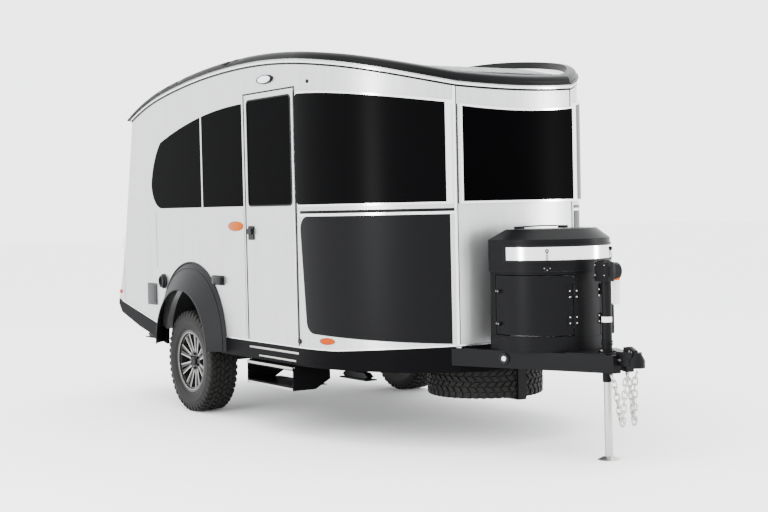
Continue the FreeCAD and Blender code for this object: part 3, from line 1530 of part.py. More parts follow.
coupler_top = f"({tongue_top} + coupler_rise)"
coupler_bottom = f"({tongue_top} - coupler_drop)"
ball_x = f"({tip} - ball_setback)"
coupler_rear = f"({tongue_start} - coupler_lap)"
socket_r = "(ball_socket_radius + socket_wall)"
coupler_channel = padded("coupler_channel", "XZ_Plane", [
    (coupler_rear, f"{coupler_bottom} + coupler_sheet"),
    (ball_x, f"{coupler_bottom} + coupler_sheet"),
    (ball_x, coupler_top),
    (coupler_rear, coupler_top),
], "coupler_width", "0", "coupler_width / 2", "0")
socket_height = f"({coupler_top} - coupler_nose_drop - {coupler_bottom})"
socket_drum = bound_rod("socket_drum", socket_r, ball_x, "0", coupler_bottom, socket_height)
socket_dome = bound_cone("socket_dome", socket_r, f"0.5 * {socket_r}", ball_x, "0",
                         f"{coupler_bottom} + {socket_height}", "coupler_nose_drop")
socket_hole = bound_rod("socket_hole", "ball_socket_radius", ball_x, "0", f"{coupler_bottom} - slide_gap",
                        "slide_gap + ball_socket_radius")
socket_cup = bound_cone("socket_cup", "ball_socket_radius", "0.4 * ball_socket_radius", ball_x, "0",
                        f"{coupler_bottom} + ball_socket_radius", "0.7 * ball_socket_radius")
coupler_solid = union("coupler_solid", [coupler_channel, socket_drum, socket_dome])
coupler_room = union("coupler_room", [socket_hole, socket_cup, bar_right, bar_left, gusset])
keep_object("coupler", cut("coupler_whole", coupler_solid, coupler_room))
latch_rear = f"({coupler_rear} + latch_height)"
latch = padded("latch_grip", "XZ_Plane", [
    (latch_rear, coupler_top),
    (f"{latch_rear} + latch_length", coupler_top),
    (f"{latch_rear} + latch_length", f"{coupler_top} + 0.3 * latch_height"),
    (f"{latch_rear} + 0.5 * latch_length", f"{coupler_top} + latch_height"),
    (latch_rear, f"{coupler_top} + 0.8 * latch_height"),
], "latch_width", "0", "latch_width / 2", "0")
keep_object("coupler_latch", latch)

# Safety chains hung in deep loops under the coupler

chain_pitch = value("link_length - 2 * chain_wire - link_play")


def link_shape():
    """One chain link lying in the XZ plane, long along Z, with flat-sided wire."""
    wire = value("chain_wire")

    def ring(inset):
        wide = value("link_width / 2") - inset
        long = value("link_length / 2") - inset
        corner = value("link_corner") - inset / 2
        quarter = [(wide, long - corner), (wide - corner, long)]
        half = quarter + [(-x, z) for x, z in reversed(quarter)]
        points = half + [(-x, -z) for x, z in half]
        return polygon_face([Vector(x, -wire / 2, z) for x, z in points])

    return ring(0).cut(ring(wire)).extrude(Vector(0, wire, 0))


def chain_links(start, low, end):
    """Links hung along a deep loop from start through low to end."""
    sag = Vector(chain_pitch / 4, 0, -chain_pitch / 4)
    curve = Part.BSplineCurve()
    curve.interpolate([start, (start + low) / 2 + sag, low, (end + low) / 2 + Vector(-sag.x, 0, sag.z), end])
    count = round(curve.length() / chain_pitch)
    pitch = curve.length() / count
    stops = [curve.value(curve.parameterAtDistance(pitch * index)) for index in range(count + 1)]
    links = []
    for index, (first, second) in enumerate(zip(stops, stops[1:])):
        link = link_shape()
        twist = Rotation(Vector(0, 0, 1), 90 * (index % 2) + 45)
        aim = Rotation(Vector(0, 0, 1), second - first)
        link.Placement = Placement((first + second) / 2, aim.multiply(twist))
        links.append(link)
    lift = Vector(0, 0, value(tongue_low) - value("seat_gap") / 2 - links[0].BoundBox.ZMax)
    return [link.translated(lift) for link in links]


def chain_point(setback, y, z):
    return Vector(value(f"{tip} - {setback}"), y, z)


chains = []
chain_y = value("chain_y")
eye_z = value(tongue_low) - chain_pitch / 2
for side in (-1, 1):
    chains.extend(chain_links(
        chain_point("chain_rear_setback", side * chain_y, eye_z),
        chain_point("chain_low_setback", side * value("(chain_y + chain_front_y) / 2"), value("chain_low_z")),
        chain_point("chain_front_setback", side * value("chain_front_y"), eye_z + chain_pitch / 2)))
keep("safety_chains", Part.makeCompound(chains))

# Entry step under the door, on two runners

step_mid_x = f"({axle} + ({door_rear_x} + {door_front_x}) / 2)"
step_low = "(belly_z - step_low_drop)"
step_mid = "(belly_z - step_mid_drop)"
cheek_top = f"({step_mid} + step_cheek_rise)"
step_out = "(-half_width - step_stand_out)"
step_in = f"({step_out} + step_depth)"
step_pieces = []
for word, low_x in (("rear", f"({step_mid_x} - step_length / 2)"),
                    ("front", f"({step_mid_x} + step_length / 2 - step_plate)")):
    step_pieces.append(padded(f"step_cheek_{word}", "YZ_Plane", [
        (step_out, step_low),
        (f"{step_out} + 0.6 * step_depth", step_low),
        (step_in, f"{step_low} + step_nose"),
        (step_in, cheek_top),
        (f"{step_out} + step_nose / 3", cheek_top),
        (step_out, f"{cheek_top} - step_nose / 3"),
    ], "step_plate", low_x, "0", "0"))
for word, tread_z in (("lower", step_low), ("upper", step_mid)):
    step_pieces.append(padded(f"tread_{word}", "YZ_Plane", [
        (step_out, tread_z),
        (f"{step_out} + tread_sheet", tread_z),
        (f"{step_out} + tread_sheet", f"{tread_z} + tread_lip - tread_sheet"),
        (f"{step_in} - tread_lip", f"{tread_z} + tread_lip - tread_sheet"),
        (f"{step_in} - tread_lip", f"{tread_z} + tread_lip"),
        (step_out, f"{tread_z} + tread_lip"),
    ], "step_length", f"{step_mid_x} - step_length / 2", "0", "0"))
keep_object("entry_step", union("step_whole", step_pieces))
runners = []
for word, low_x in (("rear", f"({step_mid_x} - step_length / 2)"),
                    ("front", f"({step_mid_x} + step_length / 2 - runner_width)")):
    runner_low = f"({cheek_top} + seat_gap)"
    runners.append(bound_box(f"runner_{word}", low_x, "skirt_thickness - half_width", runner_low, "runner_width",
                             f"half_width - skirt_thickness - {rail_outer}",
                             f"belly_z - outrigger_height - {runner_low}"))
keep_object("step_runners", group("runner_pair", runners))


# Corner stabilisers, folded up: a scissor between a foot plate and a channel, on a bracket under the floor

def stabilizer(name, centre, foot_z, side_slope):
    """Right stabiliser; side_slope is the rise of the floor towards the tail above it."""
    half = "stabilizer_length / 2"
    centre_x = f"({axle} + {centre})"
    low_y = "-stabilizer_y - stabilizer_width / 2"
    foot = bound_box(f"{name}_foot", f"{centre_x} - {half}", low_y, foot_z,
                     "stabilizer_length", "stabilizer_width", "stabilizer_foot")
    top_z = f"({foot_z} + stabilizer_height)"
    waist_z = f"({foot_z} + stabilizer_height / 2)"
    scissor = padded(f"{name}_scissor", "XZ_Plane", [
        (f"{centre_x} - 0.7 * {half}", f"{foot_z} + stabilizer_foot"),
        (f"{centre_x} + 0.7 * {half}", f"{foot_z} + stabilizer_foot"),
        (f"{centre_x} + 0.94 * {half}", waist_z),
        (f"{centre_x} + 0.7 * {half}", top_z),
        (f"{centre_x} - 0.7 * {half}", top_z),
        (f"{centre_x} - 0.94 * {half}", waist_z),
    ], "bracket_width", "0", "bracket_width / 2 - stabilizer_y", "0")
    rear_x = f"({centre_x} - bracket_offset - bracket_length / 2)"
    front_x = f"({centre_x} - bracket_offset + bracket_length / 2)"
    bracket = padded(f"{name}_bracket", "XZ_Plane", [
        (rear_x, top_z),
        (front_x, top_z),
        (front_x, f"belly_z + {side_slope} * ({belly_rear} - {front_x})"),
        (rear_x, f"belly_z + {side_slope} * ({belly_rear} - {rear_x})"),
    ], "bracket_width", "0", "bracket_width / 2 - stabilizer_y", "0")
    return union(f"{name}_whole", [foot, scissor, bracket])


front_leg = stabilizer("stabilizer_front", "stabilizer_front_x", "stabilizer_front_z", "0")
rear_leg = stabilizer("stabilizer_rear", "stabilizer_rear_x", "stabilizer_rear_z", tail_slope)
legs = [front_leg, rear_leg, mirror_image("stabilizer_front_left", front_leg),
        mirror_image("stabilizer_rear_left", rear_leg)]
keep_object("stabilizers", group("stabilizer_set", legs))

# Rear lamps on the slope of the tail, and the solar panel on the front of the roof

lamp_y = half_width - value("lamp_inset")
lamp_z = knee_z + value("lamp_rise")
lamp_zone = block(-far, tail_limit, -lamp_y, value("lamp_width") - lamp_y, lamp_z, lamp_z + value("lamp_height"))
lamp = tail_zone_prism(-value("lamp_depth")).cut(tail_zone_prism(0)).common(lamp_zone)
keep("tail_lights", Part.makeCompound([lamp, mirrored(lamp)]))


def solar_shape():
    """A flat panel on four feet that stand on the sunken roof; it leans less than the roof under it."""
    half_length = value("solar_length") / 2
    half_panel = value("solar_width") / 2
    foot_width = value("solar_foot_width")
    middle_x = place_x("solar_x")
    rear_z = roof_z(middle_x - half_length) + value("solar_rear_rise")
    front_z = roof_z(middle_x + half_length) + value("solar_front_rise")
    lean = math.degrees(math.atan2(rear_z - front_z, 2 * half_length))
    pieces = [block(-half_length, half_length, -half_panel, half_panel, -value("solar_thickness"), 0)]
    for x in (-half_length, half_length - foot_width):
        for y in (-half_panel, half_panel - foot_width):
            pieces.append(block(x, x + foot_width, y, y + foot_width, -2 * wall, 0))
    panel = fuse(pieces)
    panel.Placement = Placement(Vector(middle_x, 0, (rear_z + front_z) / 2), Rotation(Vector(0, 1, 0), lean))
    return panel.cut(below_surface)


keep("solar_panel", solar_shape())

# Checks on every object, then the files

doc.recompute()
for obj in doc.Objects:
    if "Invalid" in obj.State or "Error" in obj.State:
        raise RuntimeError(f"{obj.Label} failed")
for label, feature in parts.items():
    shape = feature.Shape
    if shape.isNull() or not shape.isValid() or not shape.Solids:
        raise RuntimeError(f"{label} has no valid solid")
    print(label, len(shape.Solids), round(shape.Volume / 1e6, 3))

os.makedirs("parts", exist_ok=True)
for label, feature in parts.items():
    feature.Shape.exportStep(os.path.join("parts", f"{label}.step"))
print(len(parts), "parts")
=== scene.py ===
import json
import math
import bmesh
import bpy
from mathutils import Matrix, Vector


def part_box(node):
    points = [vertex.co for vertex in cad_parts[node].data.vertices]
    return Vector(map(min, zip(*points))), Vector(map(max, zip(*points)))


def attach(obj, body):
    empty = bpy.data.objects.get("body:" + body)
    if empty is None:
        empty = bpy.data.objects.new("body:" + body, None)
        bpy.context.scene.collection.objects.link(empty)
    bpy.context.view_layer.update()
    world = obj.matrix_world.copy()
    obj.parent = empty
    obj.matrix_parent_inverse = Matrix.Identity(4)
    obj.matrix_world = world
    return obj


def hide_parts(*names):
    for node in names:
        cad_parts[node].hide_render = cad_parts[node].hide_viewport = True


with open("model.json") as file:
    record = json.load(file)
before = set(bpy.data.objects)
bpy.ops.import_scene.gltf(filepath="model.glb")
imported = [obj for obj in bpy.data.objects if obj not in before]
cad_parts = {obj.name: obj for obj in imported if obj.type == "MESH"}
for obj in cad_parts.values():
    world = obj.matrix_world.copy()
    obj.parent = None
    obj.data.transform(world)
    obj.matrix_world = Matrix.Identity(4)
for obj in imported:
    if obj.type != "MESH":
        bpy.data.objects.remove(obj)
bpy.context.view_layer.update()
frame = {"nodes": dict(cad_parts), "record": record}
print("frame loaded")

sides = {"right": -1, "left": 1}  # the way along Y to each side
upward = Vector((0, 0, 1))


def axesAt(spot, x, y, z):
    # a place at spot, with these local axes
    return Matrix.Translation(spot) @ Matrix((x, y, z)).transposed().to_4x4()


def facingOut(spot, outward):
    # local X level, local Y up and local Z outward
    return axesAt(spot, upward.cross(outward), upward, outward)


def shifted(place, x=0.0, y=0.0, z=0.0):
    return place @ Matrix.Translation(Vector((x, y, z)))


# Camera and studio

cameraView = {
    "place": (8.161, -5.323, 1.439),
    "yaw": 0.574,
    "pitch": -0.035,
    "roll": -0.022,
    "lens": 66.66,
    "sensor": 36.0,
    "farClip": 200,
}
studio = {
    "sky": (0.955, 0.965, 0.975),
    "skyStrength": 3.9,
    "floorColour": (0.92, 0.92, 0.925),
    "floorRoughness": 0.9,
    "floorHalf": 60,
}
softboxes = {  # place, target, size and power; the strips draw the two bands on the round cover
    "keySoftbox": ((2.5, -7.5, 5.5), (0.0, -0.5, 1.0), (6, 3), 240),
    "topSoftbox": ((-0.5, 0.0, 7.5), (0, 0, 0), (8, 5), 420),
    "sideStrip": ((1.6, -6.0, 1.6), (1.7, 0, 1.4), (0.8, 2.4), 150),
    "frontStrip": ((5.0, 5.1, 1.6), (1.7, 0, 1.4), (0.9, 2.4), 160),
}


def addObject(name, data):
    added = bpy.data.objects.new(name, data)
    bpy.context.scene.collection.objects.link(added)
    return added


def startFinish(name):
    material = bpy.data.materials.new(name)
    material.use_nodes = True
    return material, material.node_tree.nodes["Principled BSDF"]


def aimCamera(spec):
    yaw, pitch, roll = spec["yaw"], spec["pitch"], spec["roll"]
    forward = Vector((-math.cos(yaw) * math.cos(pitch), math.sin(yaw) * math.cos(pitch), math.sin(pitch)))
    right = forward.cross(upward).normalized()
    up = right.cross(forward)
    data = bpy.data.cameras.new("studioCamera")
    data.lens = spec["lens"]
    data.sensor_width = spec["sensor"]
    data.clip_end = spec["farClip"]
    camera = addObject("studioCamera", data)
    camera.matrix_world = axesAt(Vector(spec["place"]), math.cos(roll) * right + math.sin(roll) * up,
                                 math.cos(roll) * up - math.sin(roll) * right, -forward)
    bpy.context.scene.camera = camera


def addSoftbox(name, place, target, size, power):
    data = bpy.data.lights.new(name, "AREA")
    data.shape = "RECTANGLE"
    data.size, data.size_y = size
    data.energy = power
    light = addObject(name, data)
    light.location = place
    light.rotation_euler = (Vector(target) - Vector(place)).to_track_quat("-Z", "Y").to_euler()


def buildStudio(spec):
    world = bpy.data.worlds.new("studioWorld")
    world.use_nodes = True
    background = world.node_tree.nodes["Background"]
    background.inputs["Color"].default_value = (*spec["sky"], 1)
    background.inputs["Strength"].default_value = spec["skyStrength"]
    bpy.context.scene.world = world
    half = spec["floorHalf"]
    corners = [(-half, -half, 0), (half, -half, 0), (half, half, 0), (-half, half, 0)]
    mesh = bpy.data.meshes.new("studioFloor")
    mesh.from_pydata(corners, [], [(0, 1, 2, 3)])
    material, shader = startFinish("paleFloor")
    shader.inputs["Base Color"].default_value = (*spec["floorColour"], 1)
    shader.inputs["Roughness"].default_value = spec["floorRoughness"]
    mesh.materials.append(material)
    addObject("studioFloor", mesh)


aimCamera(cameraView)
buildStudio(studio)
for name, spec in softboxes.items():
    addSoftbox(name, *spec)
print("camera and studio made")

# Finishes

grain = {
    "detail": 5,
    "bumpDistance": 0.002,
}


def surfaceFinish(name, dark, light, roughness, scale=60, bump=0.1, gloss=0.5, metal=0.0, stretch=(1, 1, 1)):
    # one noise drives colour, roughness and a fine bump, in the object's own space
    material, shader = startFinish(name)
    nodes = material.node_tree.nodes
    links = material.node_tree.links
    shader.inputs["Metallic"].default_value = metal
    shader.inputs["Specular IOR Level"].default_value = gloss
    place = nodes.new("ShaderNodeTexCoord")
    mapping = nodes.new("ShaderNodeMapping")
    mapping.inputs["Scale"].default_value = stretch
    noise = nodes.new("ShaderNodeTexNoise")
    noise.inputs["Scale"].default_value = scale
    noise.inputs["Detail"].default_value = grain["detail"]
    links.new(place.outputs["Object"], mapping.inputs["Vector"])
    links.new(mapping.outputs["Vector"], noise.inputs["Vector"])
    colour = nodes.new("ShaderNodeMix")
    colour.data_type = "RGBA"
    colour.inputs["A"].default_value = (*dark, 1)
    colour.inputs["B"].default_value = (*light, 1)
    links.new(noise.outputs["Fac"], colour.inputs["Factor"])
    links.new(colour.outputs["Result"], shader.inputs["Base Color"])
    rough = nodes.new("ShaderNodeMapRange")
    rough.inputs["To Min"].default_value, rough.inputs["To Max"].default_value = roughness
    links.new(noise.outputs["Fac"], rough.inputs["Value"])
    links.new(rough.outputs["Result"], shader.inputs["Roughness"])
    relief = nodes.new("ShaderNodeBump")
    relief.inputs["Strength"].default_value = bump
    relief.inputs["Distance"].default_value = grain["bumpDistance"]
    links.new(noise.outputs["Fac"], relief.inputs["Height"])
    links.new(relief.outputs["Normal"], shader.inputs["Normal"])
    return material


finishes = {  # name, darkest and lightest colour, roughness, then scale, bump, gloss, metal and stretch
    "aluminium_skin": surfaceFinish(
        "clearCoatedSheet", (0.42, 0.424, 0.425), (0.52, 0.523, 0.522), (0.26, 0.36), 30, 0.03, 0.5, 0.9,
        (1, 1, 0.05)),
    "dark_glass": surfaceFinish(
        "tintedPane", (0.0004, 0.0004, 0.0005), (0.0007, 0.0007, 0.0009), (0.26, 0.32), 3, 0.0, 0.005),
    "quarter_pane": surfaceFinish(
        "quarterPane", (0.0004, 0.0004, 0.0005), (0.0007, 0.0007, 0.0009), (0.24, 0.30), 3, 0.0, 0.02),
    "roof_white": surfaceFinish("roofSheet", (0.62, 0.62, 0.62), (0.7, 0.7, 0.69), (0.4, 0.5)),
    "black_trim": surfaceFinish(
        "blackMoulding", (0.002, 0.002, 0.0023), (0.004, 0.004, 0.0043), (0.3, 0.42), 200, 0.05, 0.06),
    "bright_trim": surfaceFinish(
        "brightFrame", (0.66, 0.66, 0.67), (0.76, 0.76, 0.77), (0.14, 0.22), 80, 0.1, 0.5, 1.0, (1, 1, 0.1)),
    "black_panel": surfaceFinish(
        "blackSheet", (0.0015, 0.0015, 0.0018), (0.003, 0.003, 0.0034), (0.32, 0.44), 120, 0.08, 0.065),
    "skirt_panel": surfaceFinish(
        "skirtPanel", (0.0012, 0.0012, 0.0015), (0.0025, 0.0025, 0.0028), (0.34, 0.46), 400, 0.1, 0.018),
    "black_plastic": surfaceFinish(
        "grainedPlastic", (0.004, 0.004, 0.0045), (0.008, 0.008, 0.0085), (0.42, 0.55), 700, 0.2, 0.11),
    "grey_plastic": surfaceFinish(
        "greyPlastic", (0.030, 0.031, 0.032), (0.045, 0.046, 0.048), (0.45, 0.55), 400, 0.15, 0.12),
    "black_steel": surfaceFinish(
        "powderCoat", (0.002, 0.002, 0.0025), (0.004, 0.004, 0.0045), (0.32, 0.44), 500, 0.12, 0.07),
    "zinc_steel": surfaceFinish(
        "zincPlate", (0.30, 0.30, 0.28), (0.52, 0.52, 0.49), (0.25, 0.42), 150, 0.15, 0.5, 1.0),
    "tyre_rubber": surfaceFinish(
        "tyreRubber", (0.006, 0.0057, 0.0054), (0.015, 0.0145, 0.0138), (0.50, 0.68), 90, 0.3, 0.08),
    "dark_alloy": surfaceFinish(
        "darkAlloy", (0.010, 0.010, 0.010), (0.018, 0.018, 0.018), (0.3, 0.4), 200, 0.05, 0.3, 0.3),
    "machined_face": surfaceFinish(
        "machinedFace", (0.26, 0.255, 0.24), (0.42, 0.41, 0.385), (0.2, 0.34), 300, 0.08, 0.5, 1.0),
    "cast_drum": surfaceFinish(
        "castDrum", (0.010, 0.010, 0.010), (0.025, 0.022, 0.02), (0.6, 0.75), 120, 0.4, 0.2, 0.2),
    "bottle_white": surfaceFinish("bottlePaint", (0.62, 0.62, 0.61), (0.70, 0.70, 0.69), (0.3, 0.4), 40),
    "floor_board": surfaceFinish(
        "floorSheet", (0.02, 0.02, 0.02), (0.04, 0.04, 0.04), (0.6, 0.7), 40, 0.1, 0.2),
    "amber_lens": surfaceFinish(
        "amberLens", (0.26, 0.048, 0.0006), (0.36, 0.075, 0.001), (0.12, 0.2), 120, 0.05, 0.05),
    "amber_core": surfaceFinish(
        "amberCore", (0.28, 0.025, 0.002), (0.38, 0.05, 0.003), (0.12, 0.2), 160, 0.1, 0.05),
    "red_lens": surfaceFinish("redLens", (0.35, 0.008, 0.008), (0.48, 0.015, 0.012), (0.1, 0.18), 160, 0.05),
    "clear_lens": surfaceFinish("clearLens", (0.50, 0.52, 0.55), (0.72, 0.75, 0.79), (0.05, 0.12), 200),
    # the seam finish is the colour of painted shade in the panel joints
    "seam_shadow": surfaceFinish("seamShade", (0.04, 0.04, 0.04), (0.08, 0.08, 0.08), (0.5, 0.6), 100),
    "solar_glass": surfaceFinish(
        "solarCells", (0.002, 0.0025, 0.006), (0.004, 0.005, 0.012), (0.2, 0.3), 60, 0.0, 0.08),
}
finishChanges = {  # nodes that the photograph shows darker than the rest of their slot
    "skirt_panel": ("belly_skirt_right", "belly_skirt_left", "rear_bumper", "entry_step", "step_runners"),
    "quarter_pane": ("quarter_glass_right", "quarter_glass_left"),
}
slotOf = {entry["node"]: entry["material_slot"] for entry in frame["record"]["subparts"]}
for finish, changed in finishChanges.items():
    slotOf.update({name: finish for name in changed})
for name, node in frame["nodes"].items():
    finish = finishes.get(slotOf.get(name))
    if finish and node.type == "MESH":
        node.data.materials.clear()
        node.data.materials.append(finish)
print("finishes assigned")

# Mesh tools


def circle(count):
    # cosine and sine of count equal turns
    turns = [2 * math.pi * index / count for index in range(count)]
    return [(math.cos(turn), math.sin(turn)) for turn in turns]


def addSkin(mesh, sections, looped=False):
    # joins equal point rings into one skin, closed at its ends or into a loop
    rings = [[mesh.verts.new(point) for point in section] for section in sections]
    following = rings[1:] + rings[:1] if looped else rings[1:]
    for first, second in zip(rings, following):
        for a, b, c, d in zip(first, first[1:] + first[:1], second[1:] + second[:1], second):
            mesh.faces.new((a, b, c, d))
    if not looped:
        mesh.faces.new(rings[0][::-1])
        mesh.faces.new(rings[-1])


def addTurned(mesh, profile, place, count=20, looped=False, wide=1, tall=1):
    # profile holds (radius, along) pairs, turned about the local Z of place; wide and tall make it an oval
    ring = circle(count)
    sections = []
    for radius, along in profile:
        sections.append([place @ Vector((radius * wide * x, radius * tall * y, along)) for x, y in ring])
    addSkin(mesh, sections, looped)


domeShape = ((1.0, -0.3), (1.0, 0.25), (0.75, 0.8), (0.3, 1.0))  # shares of the radius and the height


def addDome(mesh, place, radius, height, count=10):
    # low round rivet or screw head on the local XY plane
    addTurned(mesh, [(share * radius, rise * height) for share, rise in domeShape], place, count)


def addBar(mesh, points, radius, count=10, looped=False, place=Matrix()):
    # round bar along a path, its ring carried from point to point without twist
    points = [place @ Vector(point) for point in points]
    last = len(points) - 1
    sections = []
    side = None
    for index, point in enumerate(points):
        if looped:
            ahead = points[(index + 1) % len(points)] - points[index - 1]
        else:
            ahead = points[min(index + 1, last)] - points[max(index - 1, 0)]
        ahead = ahead.normalized()
        side = side or ahead.orthogonal()
        side = (side - side.dot(ahead) * ahead).normalized()
        other = ahead.cross(side)
        sections.append([point + radius * (x * side + y * other) for x, y in circle(count)])
    addSkin(mesh, sections, looped)


def addBlock(mesh, low, high, bevel=0.0, place=Matrix()):
    # rounded block between two corners, in the axes of place
    low, high = Vector(low), Vector(high)
    verts = bmesh.ops.create_cube(mesh, size=1)["verts"]
    bmesh.ops.scale(mesh, vec=high - low, verts=verts)
    if bevel:
        edges = list(dict.fromkeys(edge for vert in verts for edge in vert.link_edges))
        verts = bmesh.ops.bevel(mesh, geom=edges, offset=bevel, segments=2, profile=0.5,
                                affect="EDGES")["verts"]
    bmesh.ops.transform(mesh, matrix=place @ Matrix.Translation((high + low) / 2), verts=verts)


sharpAngle = math.radians(38)


def finishPiece(name, mesh, finish, body="trailer", smooth=True, replaced=()):
    # smooth keeps the edges sharper than sharpAngle
    bmesh.ops.recalc_face_normals(mesh, faces=mesh.faces)
    data = bpy.data.meshes.new(name)
    mesh.to_mesh(data)
    mesh.free()
    data.materials.append(finishes[finish])
    piece = addObject(name, data)
    if smooth:
        data.shade_smooth()
        data.set_sharp_from_angle(angle=sharpAngle)
    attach(piece, body)
    for node in replaced:
        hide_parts(node)


def finishBlocks(name, blocks, place, finish):
    # a piece of blocks alone, each two corners and a bevel
    mesh = bmesh.new()
    for block in blocks:
        addBlock(mesh, *block, place)
    finishPiece(name, mesh, finish)


# Lines of the body, from the same driving sizes as the solids

bodyLine = {
    "halfWidth": 0.960,
    "quarterX": 0.4238,
    "quarterRadius": 1.183,
    "quarterAngle": math.radians(56.1),
    "bowRadius": 1.748,
    "noseX": 1.4611,
    "peakX": -0.2452,
    "peakZ": 2.400,
    "frontRadius": 6.900,
    "browX": 0.7698,
    "browRadius": 3.390,
    "middleRadius": 8.870,
    "kneeX": -1.5732,
    "rearRadius": 3.090,
    "bellyZ": 0.566,
    "noseRise": 0.046,
    "bellyFrontX": 0.7698,
    "bellyRearX": -1.5802,
    "tailRise": 0.189,
    "tailX": -2.4802,
}
halfWidth = bodyLine["halfWidth"]
quarterX = bodyLine["quarterX"]
quarterRadius = bodyLine["quarterRadius"]
bowRadius = bodyLine["bowRadius"]
quarterLength = quarterRadius * bodyLine["quarterAngle"]
cornerHalf = halfWidth - quarterRadius * (1 - math.cos(bodyLine["quarterAngle"]))
cornerTurn = math.asin(cornerHalf / bowRadius)
frontEnd = quarterLength + bowRadius * cornerTurn


def wallSpot(reach, side=-1):
    # point on the wall's outside and its outward direction; reach runs forward from the quarter's start
    if reach <= 0:
        return Vector((quarterX + reach, side * halfWidth, 0)), Vector((0, side, 0))
    if reach <= quarterLength:
        turn = reach / quarterRadius
        outward = Vector((math.sin(turn), side * math.cos(turn), 0))
        return Vector((quarterX, side * (halfWidth - quarterRadius), 0)) + quarterRadius * outward, outward
    turn = cornerTurn - (reach - quarterLength) / bowRadius
    outward = Vector((math.cos(turn), side * math.sin(turn), 0))
    return Vector((bodyLine["noseX"] - bowRadius, 0, 0)) + bowRadius * outward, outward


def levelAt(height, x):
    # a height is a number or a line such as roofHeight
    return height(x) if callable(height) else height


def wallPlace(reach, height, side=-1):
    # on the wall, local X along it, local Y up and local Z outward
    point, outward = wallSpot(reach, side)
    return facingOut(point + levelAt(height, point.x) * upward, outward)


def sideReach(x):
    return x - quarterX


def arcDrop(x, topX, topZ, radius, lean=0.0):
    return topZ - radius * math.sqrt(1 - lean ** 2) + math.sqrt(radius ** 2 - (x - topX + radius * lean) ** 2)


def roofHeight(x):
    peakX, peakZ = bodyLine["peakX"], bodyLine["peakZ"]
    names = ("frontRadius", "browX", "browRadius") if x >= peakX else ("middleRadius", "kneeX", "rearRadius")
    radius, joinX, endRadius = (bodyLine[name] for name in names)
    if abs(x - peakX) <= abs(joinX - peakX):
        return arcDrop(x, peakX, peakZ, radius)
    return arcDrop(x, joinX, arcDrop(joinX, peakX, peakZ, radius), endRadius, (joinX - peakX) / radius)


def bellyHeight(x):
    frontX, rearX = bodyLine["bellyFrontX"], bodyLine["bellyRearX"]
    rise = 0.0
    if x > frontX:
        rise = bodyLine["noseRise"] * (x - frontX) / (bodyLine["noseX"] - frontX)
    elif x < rearX:
        rise = bodyLine["tailRise"] * (rearX - x) / (rearX - bodyLine["tailX"])
    return bodyLine["bellyZ"] + rise


def raised(line, rise):
    # the same line, higher by rise
    return lambda x: line(x) + rise


def addWallBand(mesh, start, end, low, high, proud, side=-1, pitch=0.04):
    # flat bar that follows the wall from its face to proud of it
    count = max(1, math.ceil((end - start) / pitch))
    stops = [start + (end - start) * index / count for index in range(count + 1)]
    if start < quarterLength < end:
        stops = sorted(stops + [quarterLength])
    sections = []
    for reach in stops:
        inner, outward = wallSpot(reach, side)
        outer = inner + proud * outward
        bottom = levelAt(low, inner.x) * upward
        top = levelAt(high, inner.x) * upward
        sections.append([inner + bottom, outer + bottom, outer + top, inner + top])
    addSkin(mesh, sections)


# Bright lines along the roof, the rail, the skirt and the corners; the dark lines beside them are painted
# shade, and the bright strip at each corner is a painted highlight

trimLines = {
    "roofRear": -2.13,
    "roofDrop": 0.014,
    "roofBright": 0.010,
    "roofDark": 0.012,
    "railStart": 0.045,
    "railGap": 0.004,
    "railZ": 1.3865,
    "railHeight": 0.016,
    "railShade": 0.034,
    "sillFront": -0.60,
    "sillRear": (-2.40, -1.66),
    "sillHeight": 0.009,
    "cornerWidth": 0.016,
    "cornerBandEdges": (0.001, 0.005),
    "cornerFoot": 0.012,
    "brightProud": {"roof": 0.006, "rail": 0.010, "sill": 0.007, "corner": 0.004},
    "darkProud": {"roof": 0.003, "rail": 0.004, "corner": 0.002},
}


def addWallLines(bright, dark, side):
    spec = trimLines
    proud, darkProud = spec["brightProud"], spec["darkProud"]
    roofStart = sideReach(spec["roofRear"])
    roofTop = raised(roofHeight, -spec["roofDrop"])
    roofMiddle = raised(roofTop, -spec["roofBright"])
    roofLow = raised(roofMiddle, -spec["roofDark"])
    addWallBand(bright, roofStart, frontEnd, roofMiddle, roofTop, proud["roof"], side)
    # the dark band under the roof's bright line is painted shade
    addWallBand(dark, roofStart, frontEnd, roofLow, roofMiddle, darkProud["roof"], side)
    rail = (spec["railStart"], quarterLength - spec["railGap"])
    railTop = spec["railZ"] + spec["railHeight"]
    addWallBand(bright, *rail, spec["railZ"], railTop, proud["rail"], side)
    # the dark band over the rail is painted shade
    addWallBand(dark, *rail, railTop, spec["railZ"] + spec["railShade"], darkProud["rail"], side)
    sillTop = raised(bellyHeight, spec["sillHeight"])
    for start, end in ((sideReach(spec["sillFront"]), frontEnd), [sideReach(x) for x in spec["sillRear"]]):
        addWallBand(bright, start, end, bellyHeight, sillTop, proud["sill"], side)
    cornerFoot = raised(bellyHeight, spec["cornerFoot"])
    # at the corner the bright strip is a painted highlight and the dark strip is painted shade, where the
    # sheet turns
    near, far = spec["cornerBandEdges"]
    addWallBand(bright, quarterLength - spec["cornerWidth"], quarterLength - near, cornerFoot, roofLow,
                proud["corner"], side)
    addWallBand(dark, quarterLength + near, quarterLength + far, cornerFoot, roofLow,
                darkProud["corner"], side)


brightLines = bmesh.new()
shadeLines = bmesh.new()
for side in sides.values():
    addWallLines(brightLines, shadeLines, side)
finishPiece("bright_wall_lines", brightLines, "bright_trim")
finishPiece("shade_wall_lines", shadeLines, "black_trim")
